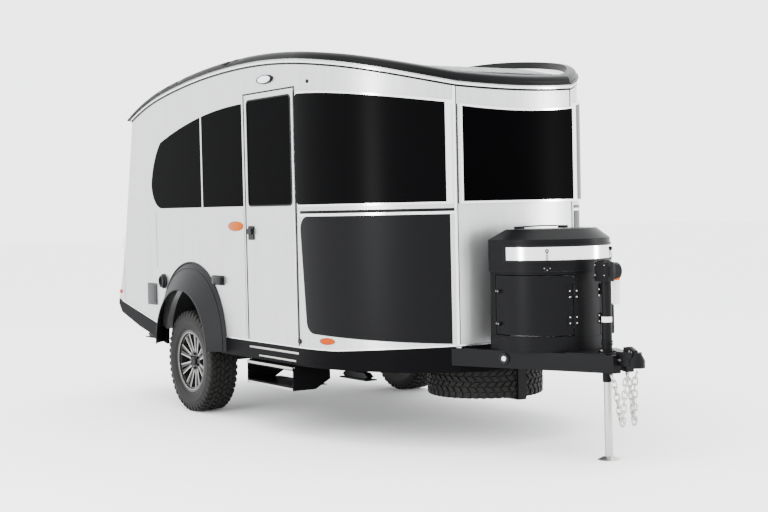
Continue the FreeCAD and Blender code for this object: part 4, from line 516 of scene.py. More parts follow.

# Panel seams drawn as dark lines of painted shade in the joints, and rivets

seams = {
    "lines": (  # x, and where they differ the foot, the top and the sides
        {"x": -2.355, "high": 1.24},
        {"x": -1.72, "low": 1.02},
        {"x": -0.292, "sides": ("right",)},
    ),
    "high": 1.44,
    "footRise": 0.03,
    "width": 0.0035,
    "proud": 0.0008,
}
rivetSpec = {
    "head": (0.0042, 0.0018),  # radius and height
    "pitch": 0.055,
    "seamGap": 0.012,
    "seamInset": 0.02,
    "rows": (  # start, end and height
        (sideReach(-2.33), sideReach(-0.32), 1.14),
        (sideReach(-2.12), frontEnd - 0.03, raised(roofHeight, -0.055)),
        (sideReach(-0.56), sideReach(-0.30), 0.60),
        (0.03, quarterLength - 0.03, raised(bellyHeight, 0.032)),
    ),
    "columns": (  # place, foot and top
        (quarterLength - 0.028, 0.66, 1.36),
        (quarterLength + 0.016, 0.66, 1.40),
    ),
    "doorRow": (sideReach(-0.20), sideReach(0.37), 1.16),
}


def spread(low, high):
    # places from low to high, about a rivet's pitch apart
    count = round((high - low) / rivetSpec["pitch"])
    return [low + (high - low) * index / count for index in range(count + 1)]


def addRivetRow(mesh, start, end, height, side):
    for reach in spread(start, end):
        addDome(mesh, wallPlace(reach, height, side), *rivetSpec["head"])


def addRivetColumn(mesh, reach, low, high, side):
    for height in spread(low, high):
        addDome(mesh, wallPlace(reach, height, side), *rivetSpec["head"])


seamLines = bmesh.new()
rivets = bmesh.new()
for word, side in sides.items():
    for seam in seams["lines"]:
        if word not in seam.get("sides", sides):
            continue
        reach = sideReach(seam["x"])
        low = seam.get("low", bellyHeight(seam["x"]) + seams["footRise"])
        high = seam.get("high", seams["high"])
        # each seam is a dark band of painted shade along the panel joint
        addWallBand(seamLines, reach, reach + seams["width"], low, high, seams["proud"], side)
        inset = rivetSpec["seamInset"]
        addRivetColumn(rivets, reach - rivetSpec["seamGap"], low + inset, high - inset, side)
    for row in rivetSpec["rows"]:
        addRivetRow(rivets, *row, side)
    for column in rivetSpec["columns"]:
        addRivetColumn(rivets, *column, side)
finishPiece("panel_seam_shade", seamLines, "seam_shadow")
finishPiece("wall_rivets", rivets, "aluminium_skin")
doorRivets = bmesh.new()
addRivetRow(doorRivets, *rivetSpec["doorRow"], sides["right"])
finishPiece("door_rivets", doorRivets, "aluminium_skin", "entry_door")
print("wall lines, seams and rivets made")

# Lamps, reflectors and fittings on the walls

lampShape = {  # share of the outline and share of the depth, from the wall out
    "rim": ((1.0, 0), (1.0, 0.4), (0.95, 0.62), (0.84, 0.66), (0.82, 0.3)),
    "lens": ((0.82, 0.1), (0.82, 0.55), (0.72, 0.82), (0.45, 0.96), (0.1, 1)),
    "count": 36,
}
lamps = {
    "porch": {"reach": sideReach(0.050), "z": 2.270, "half": (0.105, 0.030), "depth": 0.020},
    "reflector": {"reach": sideReach(-0.416), "z": 1.326, "half": (0.105, 0.033), "depth": 0.014},
    "marker": {"reach": 0.282, "z": 0.622, "half": (0.062, 0.021), "depth": 0.014},
    "rearMarker": {"reach": sideReach(-2.432), "z": 0.812,
                   "profile": ((0.016, 0), (0.016, 0.008), (0.0096, 0.012), (0.001, 0.013))},
}
fittings = {  # blocks hold two corners and a bevel, on the right wall
    "plug": {"reach": 0.004, "z": 0.606,
             "profile": ((0.017, 0), (0.017, 0.006), (0.0119, 0.010), (0.001, 0.010))},
    "vent": {"reach": 0.150, "z": 2.215,
             "profile": ((0.012, 0), (0.012, 0.004), (0.006, 0.006), (0.001, 0.002))},
    "outletBase": ((-0.781, 0.920, 0), (-0.607, 0.987, 0.010), 0.004),
    "outletLid": ((-0.726, 0.928, 0.004), (-0.615, 0.979, 0.030), 0.007),
    "outletFace": ((-0.775, 0.926, 0.008), (-0.729, 0.981, 0.016), 0.003),
    "inlet": {"reach": sideReach(-1.605), "z": 0.918,
              "profile": ((0.055, 0), (0.055, 0.010), (0.05115, 0.014), (0.044, 0.014),
                          (0.0418, 0.028), (0.033, 0.028), (0.0308, 0.016), (0.001, 0.016)),
              "catch": ((-0.030, -0.045, 0.012), (0.030, -0.028, 0.024), 0.003)},
    "serviceBase": ((-1.896, 0.734, 0), (-1.740, 0.898, 0.010), 0.005),
    "serviceLid": ((-1.882, 0.748, 0.004), (-1.754, 0.884, 0.014), 0.004),
    "serviceScrews": ((-1.766, 0.769, 0.014), (-1.766, 0.863, 0.014)),
    "screw": (0.006, 0.004, 14),
}


def specPlace(spec, side=-1):
    return wallPlace(spec["reach"], spec["z"], side)


def addOvalLamp(name, spec, side, rimFinish, lensFinish):
    wide, tall = spec["half"]
    for part, finish in (("rim", rimFinish), ("lens", lensFinish)):
        mesh = bmesh.new()
        profile = [(share, rise * spec["depth"]) for share, rise in lampShape[part]]
        addTurned(mesh, profile, specPlace(spec, side), lampShape["count"], wide=wide, tall=tall)
        finishPiece(f"{name}_{part}", mesh, finish)


addOvalLamp("porch_light", lamps["porch"], sides["right"], "black_trim", "clear_lens")
for word, side in sides.items():
    addOvalLamp(f"side_reflector_{word}", lamps["reflector"], side, "amber_lens", "amber_lens")
    addOvalLamp(f"front_marker_{word}", lamps["marker"], side, "amber_lens", "amber_core")
    lens = bmesh.new()
    addTurned(lens, lamps["rearMarker"]["profile"], specPlace(lamps["rearMarker"], side))
    finishPiece(f"rear_marker_{word}", lens, "red_lens")
sideWall = wallPlace(sideReach(0.0), 0.0)
details = bmesh.new()
for side in sides.values():
    addTurned(details, fittings["plug"]["profile"], specPlace(fittings["plug"], side), 24)
addTurned(details, fittings["vent"]["profile"], specPlace(fittings["vent"]))
addBlock(details, *fittings["outletBase"], sideWall)
addBlock(details, *fittings["outletLid"], sideWall)
addTurned(details, fittings["inlet"]["profile"], specPlace(fittings["inlet"]), 40)
addBlock(details, *fittings["inlet"]["catch"], specPlace(fittings["inlet"]))
finishPiece("wall_fittings", details, "black_plastic")
hatchDoor = bmesh.new()
addBlock(hatchDoor, *fittings["serviceBase"], sideWall)
addBlock(hatchDoor, *fittings["serviceLid"], sideWall)
for spot in fittings["serviceScrews"]:
    addDome(hatchDoor, shifted(sideWall, *spot), *fittings["screw"])
finishPiece("service_hatch", hatchDoor, "grey_plastic")
finishBlocks("outlet_face", [fittings["outletFace"]], sideWall, "grey_plastic")
print("wall fittings made")

# Seals round the door's pane and the left wall's, and painted shade over the gap round the door

borders = {
    "paneGap": 0.004,
    "paneCorner": 0.034,
    "sealWidth": 0.010,
    "sealProud": 0.003,
    "doorGap": 0.004,
    "doorLine": 0.009,
    "headLine": 0.0063,
    "lineFoot": 0.012,
    "lineProud": 0.002,
}


def roundedOutline(low, high, radius, steps=5):
    # corners of a rounded box, anticlockwise
    points = []
    for index, (x, z) in enumerate(((high[0] - radius, high[1] - radius), (low[0] + radius, high[1] - radius),
                                    (low[0] + radius, low[1] + radius), (high[0] - radius, low[1] + radius))):
        for step in range(steps + 1):
            angle = math.radians(90 * (index + step / steps))
            points.append(Vector((x + radius * math.cos(angle), z + radius * math.sin(angle))))
    return points


def addBorder(mesh, outline, width, proud, side):
    # flat frame on the side wall, inside an anticlockwise outline of (x, z) points
    y = side * halfWidth
    sections = []
    for index, corner in enumerate(outline):
        back = (corner - outline[index - 1]).normalized()
        ahead = (outline[(index + 1) % len(outline)] - corner).normalized()
        inner = corner + width * Vector((-(back + ahead).y, (back + ahead).x)).normalized()
        sections.append([Vector((corner.x, y, corner.y)), Vector((corner.x, y + side * proud, corner.y)),
                         Vector((inner.x, y + side * proud, inner.y)), Vector((inner.x, y, inner.y))])
    addSkin(mesh, sections, looped=True)


paneLow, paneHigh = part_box("entry_door_glass")
gap = borders["paneGap"]
paneOutline = roundedOutline((paneLow[0] - gap, paneLow[2] - gap), (paneHigh[0] + gap, paneHigh[2] + gap),
                             borders["paneCorner"])
for name, side, body in (("door_window_seal", -1, "entry_door"), ("left_pane_seal", 1, "trailer")):
    seal = bmesh.new()
    addBorder(seal, paneOutline, borders["sealWidth"], borders["sealProud"], side)
    finishPiece(name, seal, "black_trim", body)
doorLow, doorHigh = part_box("entry_door")
doorTop = doorHigh[2] + borders["doorGap"]
doorRear = sideReach(doorLow[0] - borders["doorGap"])
doorFront = sideReach(doorHigh[0] + borders["doorGap"])
lineFoot = bellyHeight(doorLow[0]) + borders["lineFoot"]
line, proud = borders["doorLine"], borders["lineProud"]
# black bands round the door: painted shade of the door's gap
doorLine = bmesh.new()
addWallBand(doorLine, doorRear - line, doorRear, lineFoot, doorTop, proud)
addWallBand(doorLine, doorFront, doorFront + line, lineFoot, doorTop, proud)
addWallBand(doorLine, doorRear - line, doorFront + line, doorTop, doorTop + borders["headLine"], proud)
finishPiece("door_gap_shade", doorLine, "black_trim")
print("window seals made")

# Wheels: tyres with moulded tread, and bright-faced spokes on the rims

tyreSpec = {
    "radius": 0.3605,
    "blockFoot": 0.3465,
    "flank": (  # radius and distance from the middle, from the bead to the outer groove
        (0.2145, 0.0885), (0.2245, 0.0930), (0.2275, 0.0945), (0.246, 0.1010), (0.250, 0.1034),
        (0.254, 0.1030), (0.270, 0.1078), (0.288, 0.1083), (0.292, 0.1095), (0.296, 0.1083), (0.312, 0.1070),
        (0.330, 0.1035), (0.342, 0.0990), (0.3495, 0.0900), (0.3495, 0.045),
    ),
    "pitches": 46,
    "smooth": 96,
    "rows": (  # turns in pitches, places across, lean in pitches, drop from the crown and taper
        {"turns": (0.06, 0.80), "across": (0.004, 0.030), "lean": 0.42, "drop": 0.0, "taper": 0.85},
        {"turns": (0.34, 1.10), "across": (0.034, 0.062), "lean": -0.34, "drop": 0.0, "taper": 0.85},
        {"turns": (0.10, 0.72), "across": (0.066, 0.092), "lean": 0.10, "drop": 0.0015, "taper": 0.9},
    ),
    "stagger": 0.004,
    "lugTurns": (0.14, 0.66),
    "lugs": (((0.318, 0.1020), (0.3475, 0.0985)), ((0.340, 0.0940), (0.3560, 0.0940))),  # radius and across
    "lugStagger": 0.016,
    "lugLift": 0.0062,
}
rimSpec = {
    "spokes": 8,
    "faceInner": (0.070, 0.0135, 0.0615),  # radius, offset from the spoke's middle, and rise
    "faceOuter": (0.1935, 0.0395, 0.0815),
    "faceHalves": (0.0048, 0.00304),
    "faceDepth": 0.006,
    "lip": ((0.2035, 0.0885), (0.2035, 0.0925), (0.2080, 0.0938), (0.2110, 0.0925), (0.2110, 0.0885)),
    "cap": ((0.034, 0.050), (0.034, 0.071), (0.0306, 0.0745), (0.0187, 0.0755), (0.017, 0.0738),
            (0.001, 0.0738)),
    "nut": ((0.0095, 0.052), (0.0095, 0.068), (0.0075, 0.072), (0.001, 0.073)),
    "nutCircle": 0.050,
    "nutCount": 6,
}


def tyrePlace(node, turn):
    # the tyre's middle, with local Z out along its axle
    low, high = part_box(node)
    return Matrix.Translation((Vector(low) + Vector(high)) / 2) @ Matrix.Rotation(math.radians(turn), 4, "X")


def onTyre(place, radius, turn, across):
    return place @ Vector((radius * math.cos(turn), radius * math.sin(turn), across))


def addTreadBlock(mesh, place, radii, turns, across, lean, taper):
    # one block between two radii, two turns and two places across the tread
    middle = sum(turns) / 2
    centre = sum(across) / 2
    rings = []
    for radius, shrink in zip(radii, (1.0, taper)):
        halfTurn = (turns[1] - turns[0]) / 2 * shrink
        halfAcross = (across[1] - across[0]) / 2 * (1 + shrink) / 2
        ring = []
        for turnSign, acrossSign in ((-1, -1), (1, -1), (1, 1), (-1, 1)):
            turn = middle + turnSign * halfTurn + acrossSign * lean / 2
            ring.append(onTyre(place, radius, turn, centre + acrossSign * halfAcross))
        rings.append(ring)
    addSkin(mesh, rings)


def addSideLug(mesh, place, sign, turns, inner, outer):
    # low block on the flank, between two turns and two (radius, across) pairs
    corners = [(*inner, turns[0]), (*inner, turns[1]), (*outer, turns[1]), (*outer, turns[0])]
    addSkin(mesh, [[onTyre(place, radius, turn, sign * (across + lift)) for radius, across, turn in corners]
                   for lift in (0, tyreSpec["lugLift"])])


def tyreMesh(place):
    mesh = bmesh.new()
    spec = tyreSpec
    profile = list(spec["flank"]) + [(radius, -along) for radius, along in reversed(spec["flank"])]
    addTurned(mesh, profile, place, spec["smooth"], looped=True)
    step = 2 * math.pi / spec["pitches"]
    for index in range(spec["pitches"]):
        for sign in (-1, 1):
            start = index * step + (0.5 * step if sign > 0 else 0)
            longer = index % 2
            for row in spec["rows"]:
                near, far = row["across"]
                if row is spec["rows"][-1]:
                    far += longer * spec["stagger"]
                turns = [start + turn * step for turn in row["turns"]]
                addTreadBlock(mesh, place, (spec["blockFoot"], spec["radius"] - row["drop"]), turns,
                              sorted((sign * near, sign * far)), sign * row["lean"] * step, row["taper"])
            turns = [start + turn * step for turn in spec["lugTurns"]]
            (footRadius, footAcross), top = spec["lugs"][0]
            addSideLug(mesh, place, sign, turns, (footRadius - longer * spec["lugStagger"], footAcross), top)
            addSideLug(mesh, place, sign, turns, *spec["lugs"][1])
    return mesh


def addSpokeFaces(mesh, place):
    spec = rimSpec
    for index in range(spec["spokes"]):
        turned = Matrix.Rotation(2 * math.pi * index / spec["spokes"], 4, "Z")
        for sign in (-1, 1):
            ends = [turned @ Vector((radius, sign * offset, rise))
                    for radius, offset, rise in (spec["faceInner"], spec["faceOuter"])]
            ahead = (ends[1] - ends[0]).normalized()
            across = upward.cross(ahead).normalized()
            down = -spec["faceDepth"] * ahead.cross(across)
            sections = []
            for point, half in zip(ends, spec["faceHalves"]):
                wide = half * across
                corners = (down - wide, down + wide, wide, -wide)
                sections.append([place @ (point + corner) for corner in corners])
            addSkin(mesh, sections)
    addTurned(mesh, spec["lip"], place, 72, looped=True)


def addHub(mesh, place):
    addTurned(mesh, rimSpec["cap"], place, 36)
    for index in range(rimSpec["nutCount"]):
        angle = 2 * math.pi * (index + 0.5) / rimSpec["nutCount"]
        radius = rimSpec["nutCircle"]
        addTurned(mesh, rimSpec["nut"], shifted(place, radius * math.cos(angle), radius * math.sin(angle)), 6)


for word, node, turn, body in (("right", "tyre_right", 90, "wheel_right"),
                               ("left", "tyre_left", -90, "wheel_left"),
                               ("spare", "spare_tyre", 180, "trailer")):
    place = tyrePlace(node, turn)
    finishPiece(f"tread_{word}", tyreMesh(place), "tyre_rubber", body, replaced=[node])
    faces = bmesh.new()
    addSpokeFaces(faces, place)
    finishPiece(f"spoke_faces_{word}", faces, "machined_face", body, smooth=False)
    if word in sides:
        hub = bmesh.new()
        addHub(hub, place)
        finishPiece(f"hub_cap_{word}", hub, "black_steel", body)
print("wheels made")

# Flares: rolled lip, seat bead and the ridge beside it

flareSpec = {
    "x": -1.1302,
    "foot": 0.470,
    "steps": 40,
    "beads": (
        {"radius": 0.4215, "z": 0.4601, "y": 1.0590, "bar": 0.0056},
        {"radius": 0.5070, "z": 0.5211, "y": 0.9810, "bar": 0.0060},
        {"radius": 0.5310, "z": 0.5366, "y": 0.9625, "bar": 0.0062},
    ),
}


def archPath(bead, side):
    # up from the foot, over the wheel and down again
    x, y, radius = flareSpec["x"], side * bead["y"], bead["radius"]
    turns = [math.pi * step / flareSpec["steps"] for step in range(flareSpec["steps"] + 1)]
    arch = [(x + radius * math.cos(turn), y, bead["z"] + radius * math.sin(turn)) for turn in turns]
    return [(x + radius, y, flareSpec["foot"])] + arch + [(x - radius, y, flareSpec["foot"])]


for word, side in sides.items():
    beads = bmesh.new()
    for bead in flareSpec["beads"]:
        addBar(beads, archPath(bead, side), bead["bar"])
    finishPiece(f"flare_beads_{word}", beads, "black_plastic")
print("flare beads made")

# Cover: plate frame, latches, hinge rivets and the grab rod on the lid

coverSpec = {
    "x": 1.7032,
    "radius": 0.345,
    "bandStep": 4,
    "hingeTurn": 17,
    "hingeHeights": (0.775, 0.923),
    "hingeRivets": {"turn": 3.3, "rise": 0.017, "proud": 0.0035, "head": (0.0052, 0.003, 12)},
    "latchTurn": 96.8,
    "latchHeights": (0.750, 0.937),
    "keeperTurn": 106.0,
    "latchProud": 0.001,
    "latchPlate": ((-0.026, -0.009, 0), (0.030, 0.009, 0.006), 0.003),
    "latchKnob": ((0.012, 0.004), (0.012, 0.012), (0.009, 0.015), (0.001, 0.015)),
    "latchReach": 0.018,
    "latchRivet": (0.0038, 0.0024, 12),
    "keeper": ((-0.008, -0.012, 0), (0.010, 0.012, 0.006), 0.003),
    "keeperRivets": ((0.002, -0.007, 0.006), (0.002, 0.007, 0.006)),
    "keeperRivet": (0.003, 0.002, 10),
}
lidSpec = {
    "plateLow": 1.116,
    "plateHigh": 1.190,
    "frameGap": 0.002,
    "frameEdge": 0.014,
    "frameFace": 0.361,
    "frameTurn": 86,
    "postTurn": 3.2,
    "rodX": 1.640,
    "rodZ": 1.3005,
    "rodHalf": 0.165,
    "rodRise": 0.004,
    "rodBar": 0.0042,
    "rodFoot": (0.016, 0.028, 1.284, 1.304),  # half sizes, foot and top
    "rodFootBevel": 0.004,
    "latchTurn": 41,
    "latchProud": 0.012,
    "knobSpot": (0, 1.168, 0.002),
    "knob": ((0.011, -0.004), (0.011, 0.008), (0.008, 0.011), (0.001, 0.011)),
    "knobHead": (0.005, 0.002),
    "strapX": 0.0045,
    "strap": ((1.164, 0.004), (1.120, 0.007), (1.078, 0.004)),
    "strapBar": 0.0022,
    "keeper": ((-0.012, 1.064, -0.006), (0.012, 1.082, 0.008), 0.003),
    "rivets": ((-0.016, 1.070, -0.001), (0.016, 1.070, -0.001), (0.0, 1.060, -0.001)),
    "rivet": (0.0032, 0.0022),
}


def coverOut(turn):
    angle = math.radians(turn)
    return Vector((math.cos(angle), math.sin(angle), 0))


def coverPlace(turn, height, proud):
    # local X runs round the cover, local Y up and local Z outward
    outward = coverOut(turn)
    return facingOut(Vector((coverSpec["x"], 0, height)) + (coverSpec["radius"] + proud) * outward, outward)


def addCoverBand(mesh, start, end, low, high):
    count = math.ceil(abs(end - start) / coverSpec["bandStep"])
    sections = []
    for index in range(count + 1):
        outward = coverOut(start + (end - start) * index / count)
        sections.append([Vector((coverSpec["x"], 0, height)) + radius * outward
                         for radius, height in ((coverSpec["radius"], low), (lidSpec["frameFace"], low),
                                                (lidSpec["frameFace"], high), (coverSpec["radius"], high))])
    addSkin(mesh, sections)


def addLidTrim(mesh):
    spec = lidSpec
    turn, edge, gap = spec["frameTurn"], spec["frameEdge"], spec["frameGap"]
    low, high = spec["plateLow"], spec["plateHigh"]
    addCoverBand(mesh, -turn, turn, low - edge, low - gap)
    addCoverBand(mesh, -turn, turn, high + gap, high + edge)
    for sign in (-1, 1):
        addCoverBand(mesh, sign * (turn - spec["postTurn"]), sign * turn, low - edge, high + edge)
    x, z, half = spec["rodX"], spec["rodZ"], spec["rodHalf"]
    addBar(mesh, [(x, -half, z), (x, 0.0, z + spec["rodRise"]), (x, half, z)], spec["rodBar"])
    long, wide, foot, top = spec["rodFoot"]
    for y in (-half, half):
        addBlock(mesh, (x - long, y - wide, foot), (x + long, y + wide, top), spec["rodFootBevel"])


lidTrim = bmesh.new()
addLidTrim(lidTrim)
finishPiece("lid_trim", lidTrim, "black_steel", "cover_lid")

lidLatches = bmesh.new()
lidBright = bmesh.new()
for sign in (-1, 1):
    place = coverPlace(sign * lidSpec["latchTurn"], 0, lidSpec["latchProud"])
    knob = shifted(place, *lidSpec["knobSpot"])
    addTurned(lidLatches, lidSpec["knob"], knob)
    addDome(lidBright, shifted(knob, z=lidSpec["knob"][-1][1]), *lidSpec["knobHead"])
    for x in (-lidSpec["strapX"], lidSpec["strapX"]):
        addBar(lidLatches, [(x, y, z) for y, z in lidSpec["strap"]], lidSpec["strapBar"], 8, place=place)
    addBlock(lidLatches, *lidSpec["keeper"], place)
    for spot in lidSpec["rivets"]:
        addDome(lidBright, shifted(place, *spot), *lidSpec["rivet"])
finishPiece("lid_latches", lidLatches, "black_steel", "cover_lid")
finishPiece("lid_latch_rivets", lidBright, "zinc_steel", "cover_lid")

for word, side in sides.items():
    door = f"cover_door_{word}"
    spec = coverSpec
    pins = bmesh.new()
    fixedPins = bmesh.new()
    rivet = spec["hingeRivets"]
    for height in spec["hingeHeights"]:
        for target, turn in ((fixedPins, -rivet["turn"]), (pins, rivet["turn"])):
            for rise in (-rivet["rise"], rivet["rise"]):
                place = coverPlace(side * (spec["hingeTurn"] + turn), height + rise, rivet["proud"])
                addDome(target, place, *rivet["head"])
    latch = bmesh.new()
    for height in spec["latchHeights"]:
        place = coverPlace(side * spec["latchTurn"], height, spec["latchProud"])
        addBlock(latch, *spec["latchPlate"], place)
        knobX = -side * spec["latchReach"]
        addTurned(latch, spec["latchKnob"], shifted(place, knobX), 18)
        for x in (-spec["latchReach"], spec["latchReach"]):
            top = spec["latchKnob"][-1][1] if x == knobX else spec["latchPlate"][1][2]
            addDome(pins, shifted(place, x, 0, top), *spec["latchRivet"])
    finishPiece(f"cover_hinge_pins_{word}", pins, "zinc_steel", door)
    finishPiece(f"cover_latches_{word}", latch, "black_steel", door)
    finishPiece(f"cover_fixed_pins_{word}", fixedPins, "zinc_steel")
    keeper = bmesh.new()
    for height in spec["latchHeights"]:
        place = coverPlace(side * spec["keeperTurn"], height, spec["latchProud"])
        addBlock(keeper, *spec["keeper"], place)
        for spot in spec["keeperRivets"]:
            addDome(keeper, shifted(place, *spot), *spec["keeperRivet"])
    finishPiece(f"cover_keepers_{word}", keeper, "zinc_steel")
print("cover details made")

# Lamp on the bar of the A-frame

barSpec = {
    "lampX": 1.694,
    "lampZ": 0.551,
    "root": (1.217, 0.520),
    "tip": (2.330, 0.048),
    "halfWidth": 0.025,
    "bezel": ((0.032, -0.001), (0.032, 0.009), (0.028, 0.013), (0.018, 0.013), (0.016, 0.004)),
    "lens": ((0.0165, 0.002), (0.0165, 0.007), (0.012, 0.012), (0.004, 0.0140), (0.0005, 0.0140)),
}


def framePlace(side):
    # on the outer face of the bar, local Y up and local Z outward
    (rootX, rootY), (tipX, tipY) = barSpec["root"], barSpec["tip"]
    run = Vector((tipX - rootX, rootY - tipY)).normalized()
    outward = Vector((run.y, side * run.x, 0))
    x = barSpec["lampX"]
    y = rootY + (x - rootX) / (tipX - rootX) * (tipY - rootY)
    return facingOut(Vector((x, side * y, barSpec["lampZ"])) + barSpec["halfWidth"] * outward, outward)


for word, side in sides.items():
    for part, finish, count in (("bezel", "black_plastic", 32), ("lens", "clear_lens", 28)):
        lamp = bmesh.new()
        addTurned(lamp, barSpec[part], framePlace(side), count)
        finishPiece(f"frame_lamp_{part}_{word}", lamp, finish)

# Jack details, each from the middle of its leg

jackSpec = {
    "x": 2.1978,
    "faceY": -0.0455,
    "strip": ((-0.054, -0.049, 1.012), (0.050, -0.0455, 1.018), 0.0012),
    "capSpot": (-0.012, -0.014, 1.092),
    "cap": ((0.013, 0), (0.013, 0.010), (0.009, 0.013), (0.001, 0.013)),
    "handle": ((-0.034, -0.030, 1.096), (-0.034, -0.030, 1.106), (-0.010, -0.018, 1.109), (0.026, 0.0, 1.108),
               (0.040, 0.012, 1.098)),
    "handleBar": 0.0045,
    "ringHeights": (0.640, 0.655),
    "ring": ((0.0265, 0), (0.034, 0.001), (0.034, 0.009), (0.0265, 0.010)),
    "sidePlate": ((0.050, -0.026, 1.020), (0.056, 0.020, 1.080), 0.002),
    "screws": ((-0.040, 1.030), (0.036, 1.030), (-0.040, 1.086), (0.036, 1.086)),
    "screw": (0.0035, 0.002),
    "bolt": ((0.0075, -0.001), (0.0075, 0.006), (0.001, 0.007)),
    "boltCircle": 0.041,
    "boltAngles": (30, 150, 270),
    "boltZ": 0.6096,
    "band": ((0.0265, 0), (0.0290, 0), (0.0290, 0.030), (0.0265, 0.030)),
    "bandZ": 0.768,
    "tagSpot": (0.030, 0.046, 1.012),
    "tag": ((-0.021, -0.148, -0.001), (0.021, -0.012, 0.001), 0.0005),
    "tagTop": ((-0.021, -0.012, -0.0012), (0.021, 0.001, 0.0012), 0.0005),
}
jackPlace = Matrix.Translation(Vector((jackSpec["x"], 0, 0)))
jackBits = bmesh.new()
jackBright = bmesh.new()
addBlock(jackBits, *jackSpec["strip"], jackPlace)
addTurned(jackBits, jackSpec["cap"], shifted(jackPlace, *jackSpec["capSpot"]))
addBar(jackBits, jackSpec["handle"], jackSpec["handleBar"], 8, place=jackPlace)
for z in jackSpec["ringHeights"]:
    addTurned(jackBits, jackSpec["ring"], shifted(jackPlace, z=z), 36, looped=True)
addBlock(jackBits, *jackSpec["sidePlate"], jackPlace)
for x, z in jackSpec["screws"]:
    place = shifted(jackPlace, x, jackSpec["faceY"], z) @ Matrix.Rotation(math.radians(90), 4, "X")
    addDome(jackBright, place, *jackSpec["screw"])
for degrees in jackSpec["boltAngles"]:
    angle = math.radians(degrees)
    x, y = jackSpec["boltCircle"] * math.cos(angle), jackSpec["boltCircle"] * math.sin(angle)
    addTurned(jackBright, jackSpec["bolt"], shifted(jackPlace, x, y, jackSpec["boltZ"]), 6)
finishPiece("jack_fittings", jackBits, "black_steel")
finishPiece("jack_bolts", jackBright, "zinc_steel")
collar = bmesh.new()
addTurned(collar, jackSpec["band"], shifted(jackPlace, z=jackSpec["bandZ"]), 36, looped=True)
finishPiece("jack_band", collar, "bottle_white")
tagPlace = facingOut(jackPlace @ Vector(jackSpec["tagSpot"]),
                     Vector((math.cos(cameraView["yaw"]), -math.sin(cameraView["yaw"]), 0)))
finishBlocks("jack_tag", [jackSpec["tag"]], tagPlace, "bottle_white")
finishBlocks("jack_tag_top", [jackSpec["tagTop"]], tagPlace, "amber_lens")

# Coupler bolts, and the latch's pin with its clip

couplerSpec = {
    "boltX": (2.325, 2.345),
    "boltY": 0.038,
    "boltZ": 0.570,
    "bolt": ((0.008, -0.001), (0.008, 0.006), (0.001, 0.0065)),
    "pin": ((2.395, -0.018, 0.620), (2.395, 0.018, 0.620)),
    "pinBar": 0.004,
    "clip": ((2.395, -0.019, 0.620), (2.398, -0.022, 0.606), (2.408, -0.021, 0.598), (2.418, -0.020, 0.606),
             (2.412, -0.019, 0.618)),
    "clipBar": 0.0016,
}
couplerBits = bmesh.new()
for x in couplerSpec["boltX"]:
    for side in sides.values():
        place = Matrix.Translation(Vector((x, side * couplerSpec["boltY"], couplerSpec["boltZ"])))
        place = place @ Matrix.Rotation(math.radians(-90 * side), 4, "X")
        addTurned(couplerBits, couplerSpec["bolt"], place, 6)
addBar(couplerBits, couplerSpec["pin"], couplerSpec["pinBar"])
addBar(couplerBits, couplerSpec["clip"], couplerSpec["clipBar"], 6)
finishPiece("coupler_bolts", couplerBits, "zinc_steel")

# Round-wire links over the plain ones of the chains

linkSpec = {
    "wire": 0.0044,
    "halfLong": 0.0236,
    "halfWide": 0.0134,
    "steps": 20,
    "mergeGap": 0.00002,
    "endZone": 0.0015,
    "sideZone": 0.012,
}


def looseParts(node):
    # the points of each loose part; the frame's mesh is split at sharp edges, so it is joined first
    mesh = bmesh.new()
    mesh.from_mesh(node.data)
    bmesh.ops.remove_doubles(mesh, verts=mesh.verts, dist=linkSpec["mergeGap"])
    waiting = set(mesh.verts)
    parts = []
    for first in mesh.verts:
        if first not in waiting:
            continue
        waiting.remove(first)
        stack = [first]
        part = []
        while stack:
            vert = stack.pop()
            part.append(vert.co.copy())
            for edge in vert.link_edges:
                other = edge.other_vert(vert)
                if other in waiting:
                    waiting.remove(other)
                    stack.append(other)
        parts.append(part)
    mesh.free()
    return parts


def commonWay(spots, guide):
    # mean direction of spots, each turned to the guide's side
    return sum((spot if spot.dot(guide) > 0 else -spot for spot in spots), Vector()).normalized()


def linkAxes(points):
    # middle, long and wide directions of one link, from its farthest points
    centre = sum(points, Vector()) / len(points)
    spots = [point - centre for point in points]
    far = max(spots, key=lambda spot: spot.length)
    longAxis = commonWay([spot for spot in spots if abs(spot.length - far.length) < linkSpec["endZone"]], far)
    flat = [spot - spot.dot(longAxis) * longAxis for spot in spots]
    wide = max(flat, key=lambda spot: spot.length).normalized()
    wideAxis = commonWay([spot for spot in flat if spot.length > linkSpec["sideZone"]], wide)
    return centre, longAxis, (wideAxis - wideAxis.dot(longAxis) * longAxis).normalized()


links = bmesh.new()
for part in looseParts(frame["nodes"]["safety_chains"]):
    centre, longAxis, wideAxis = linkAxes(part)
    radius = linkSpec["halfWide"]
    straight = linkSpec["halfLong"] - radius
    path = []
    for x, y in circle(linkSpec["steps"]):
        reach = radius * y + (straight if y >= 0 else -straight)
        path.append(centre + radius * x * wideAxis + reach * longAxis)
    addBar(links, path, linkSpec["wire"], 8, looped=True)
finishPiece("chain_links", links, "zinc_steel", replaced=["safety_chains"])
print("jack, coupler and chain details made")

# Step: bright nosings with ribbed treads, and the strips on the skirt over it

stepSpec = {
    "rear": -0.225,
    "front": 0.375,
    "faceY": -0.994,
    "noses": (0.300, 0.432),
    "noseDepth": 0.012,
    "noseHalf": 0.008,
    "noseBevel": 0.003,
    "ribs": 4,
    "ribStart": 0.024,
    "ribPitch": 0.014,
    "ribWidth": 0.005,
    "ribInset": 0.01,
    "ribRise": (0.006, 0.0095),
    "ribBevel": 0.001,
    "strips": ((-0.250, 0.410, 0.522, 0.536), (-0.120, 0.372, 0.472, 0.484)),  # rear, front, foot and top
    "stripProud": 0.002,
    "stripSunk": 0.012,
    "stripBevel": 0.003,
}


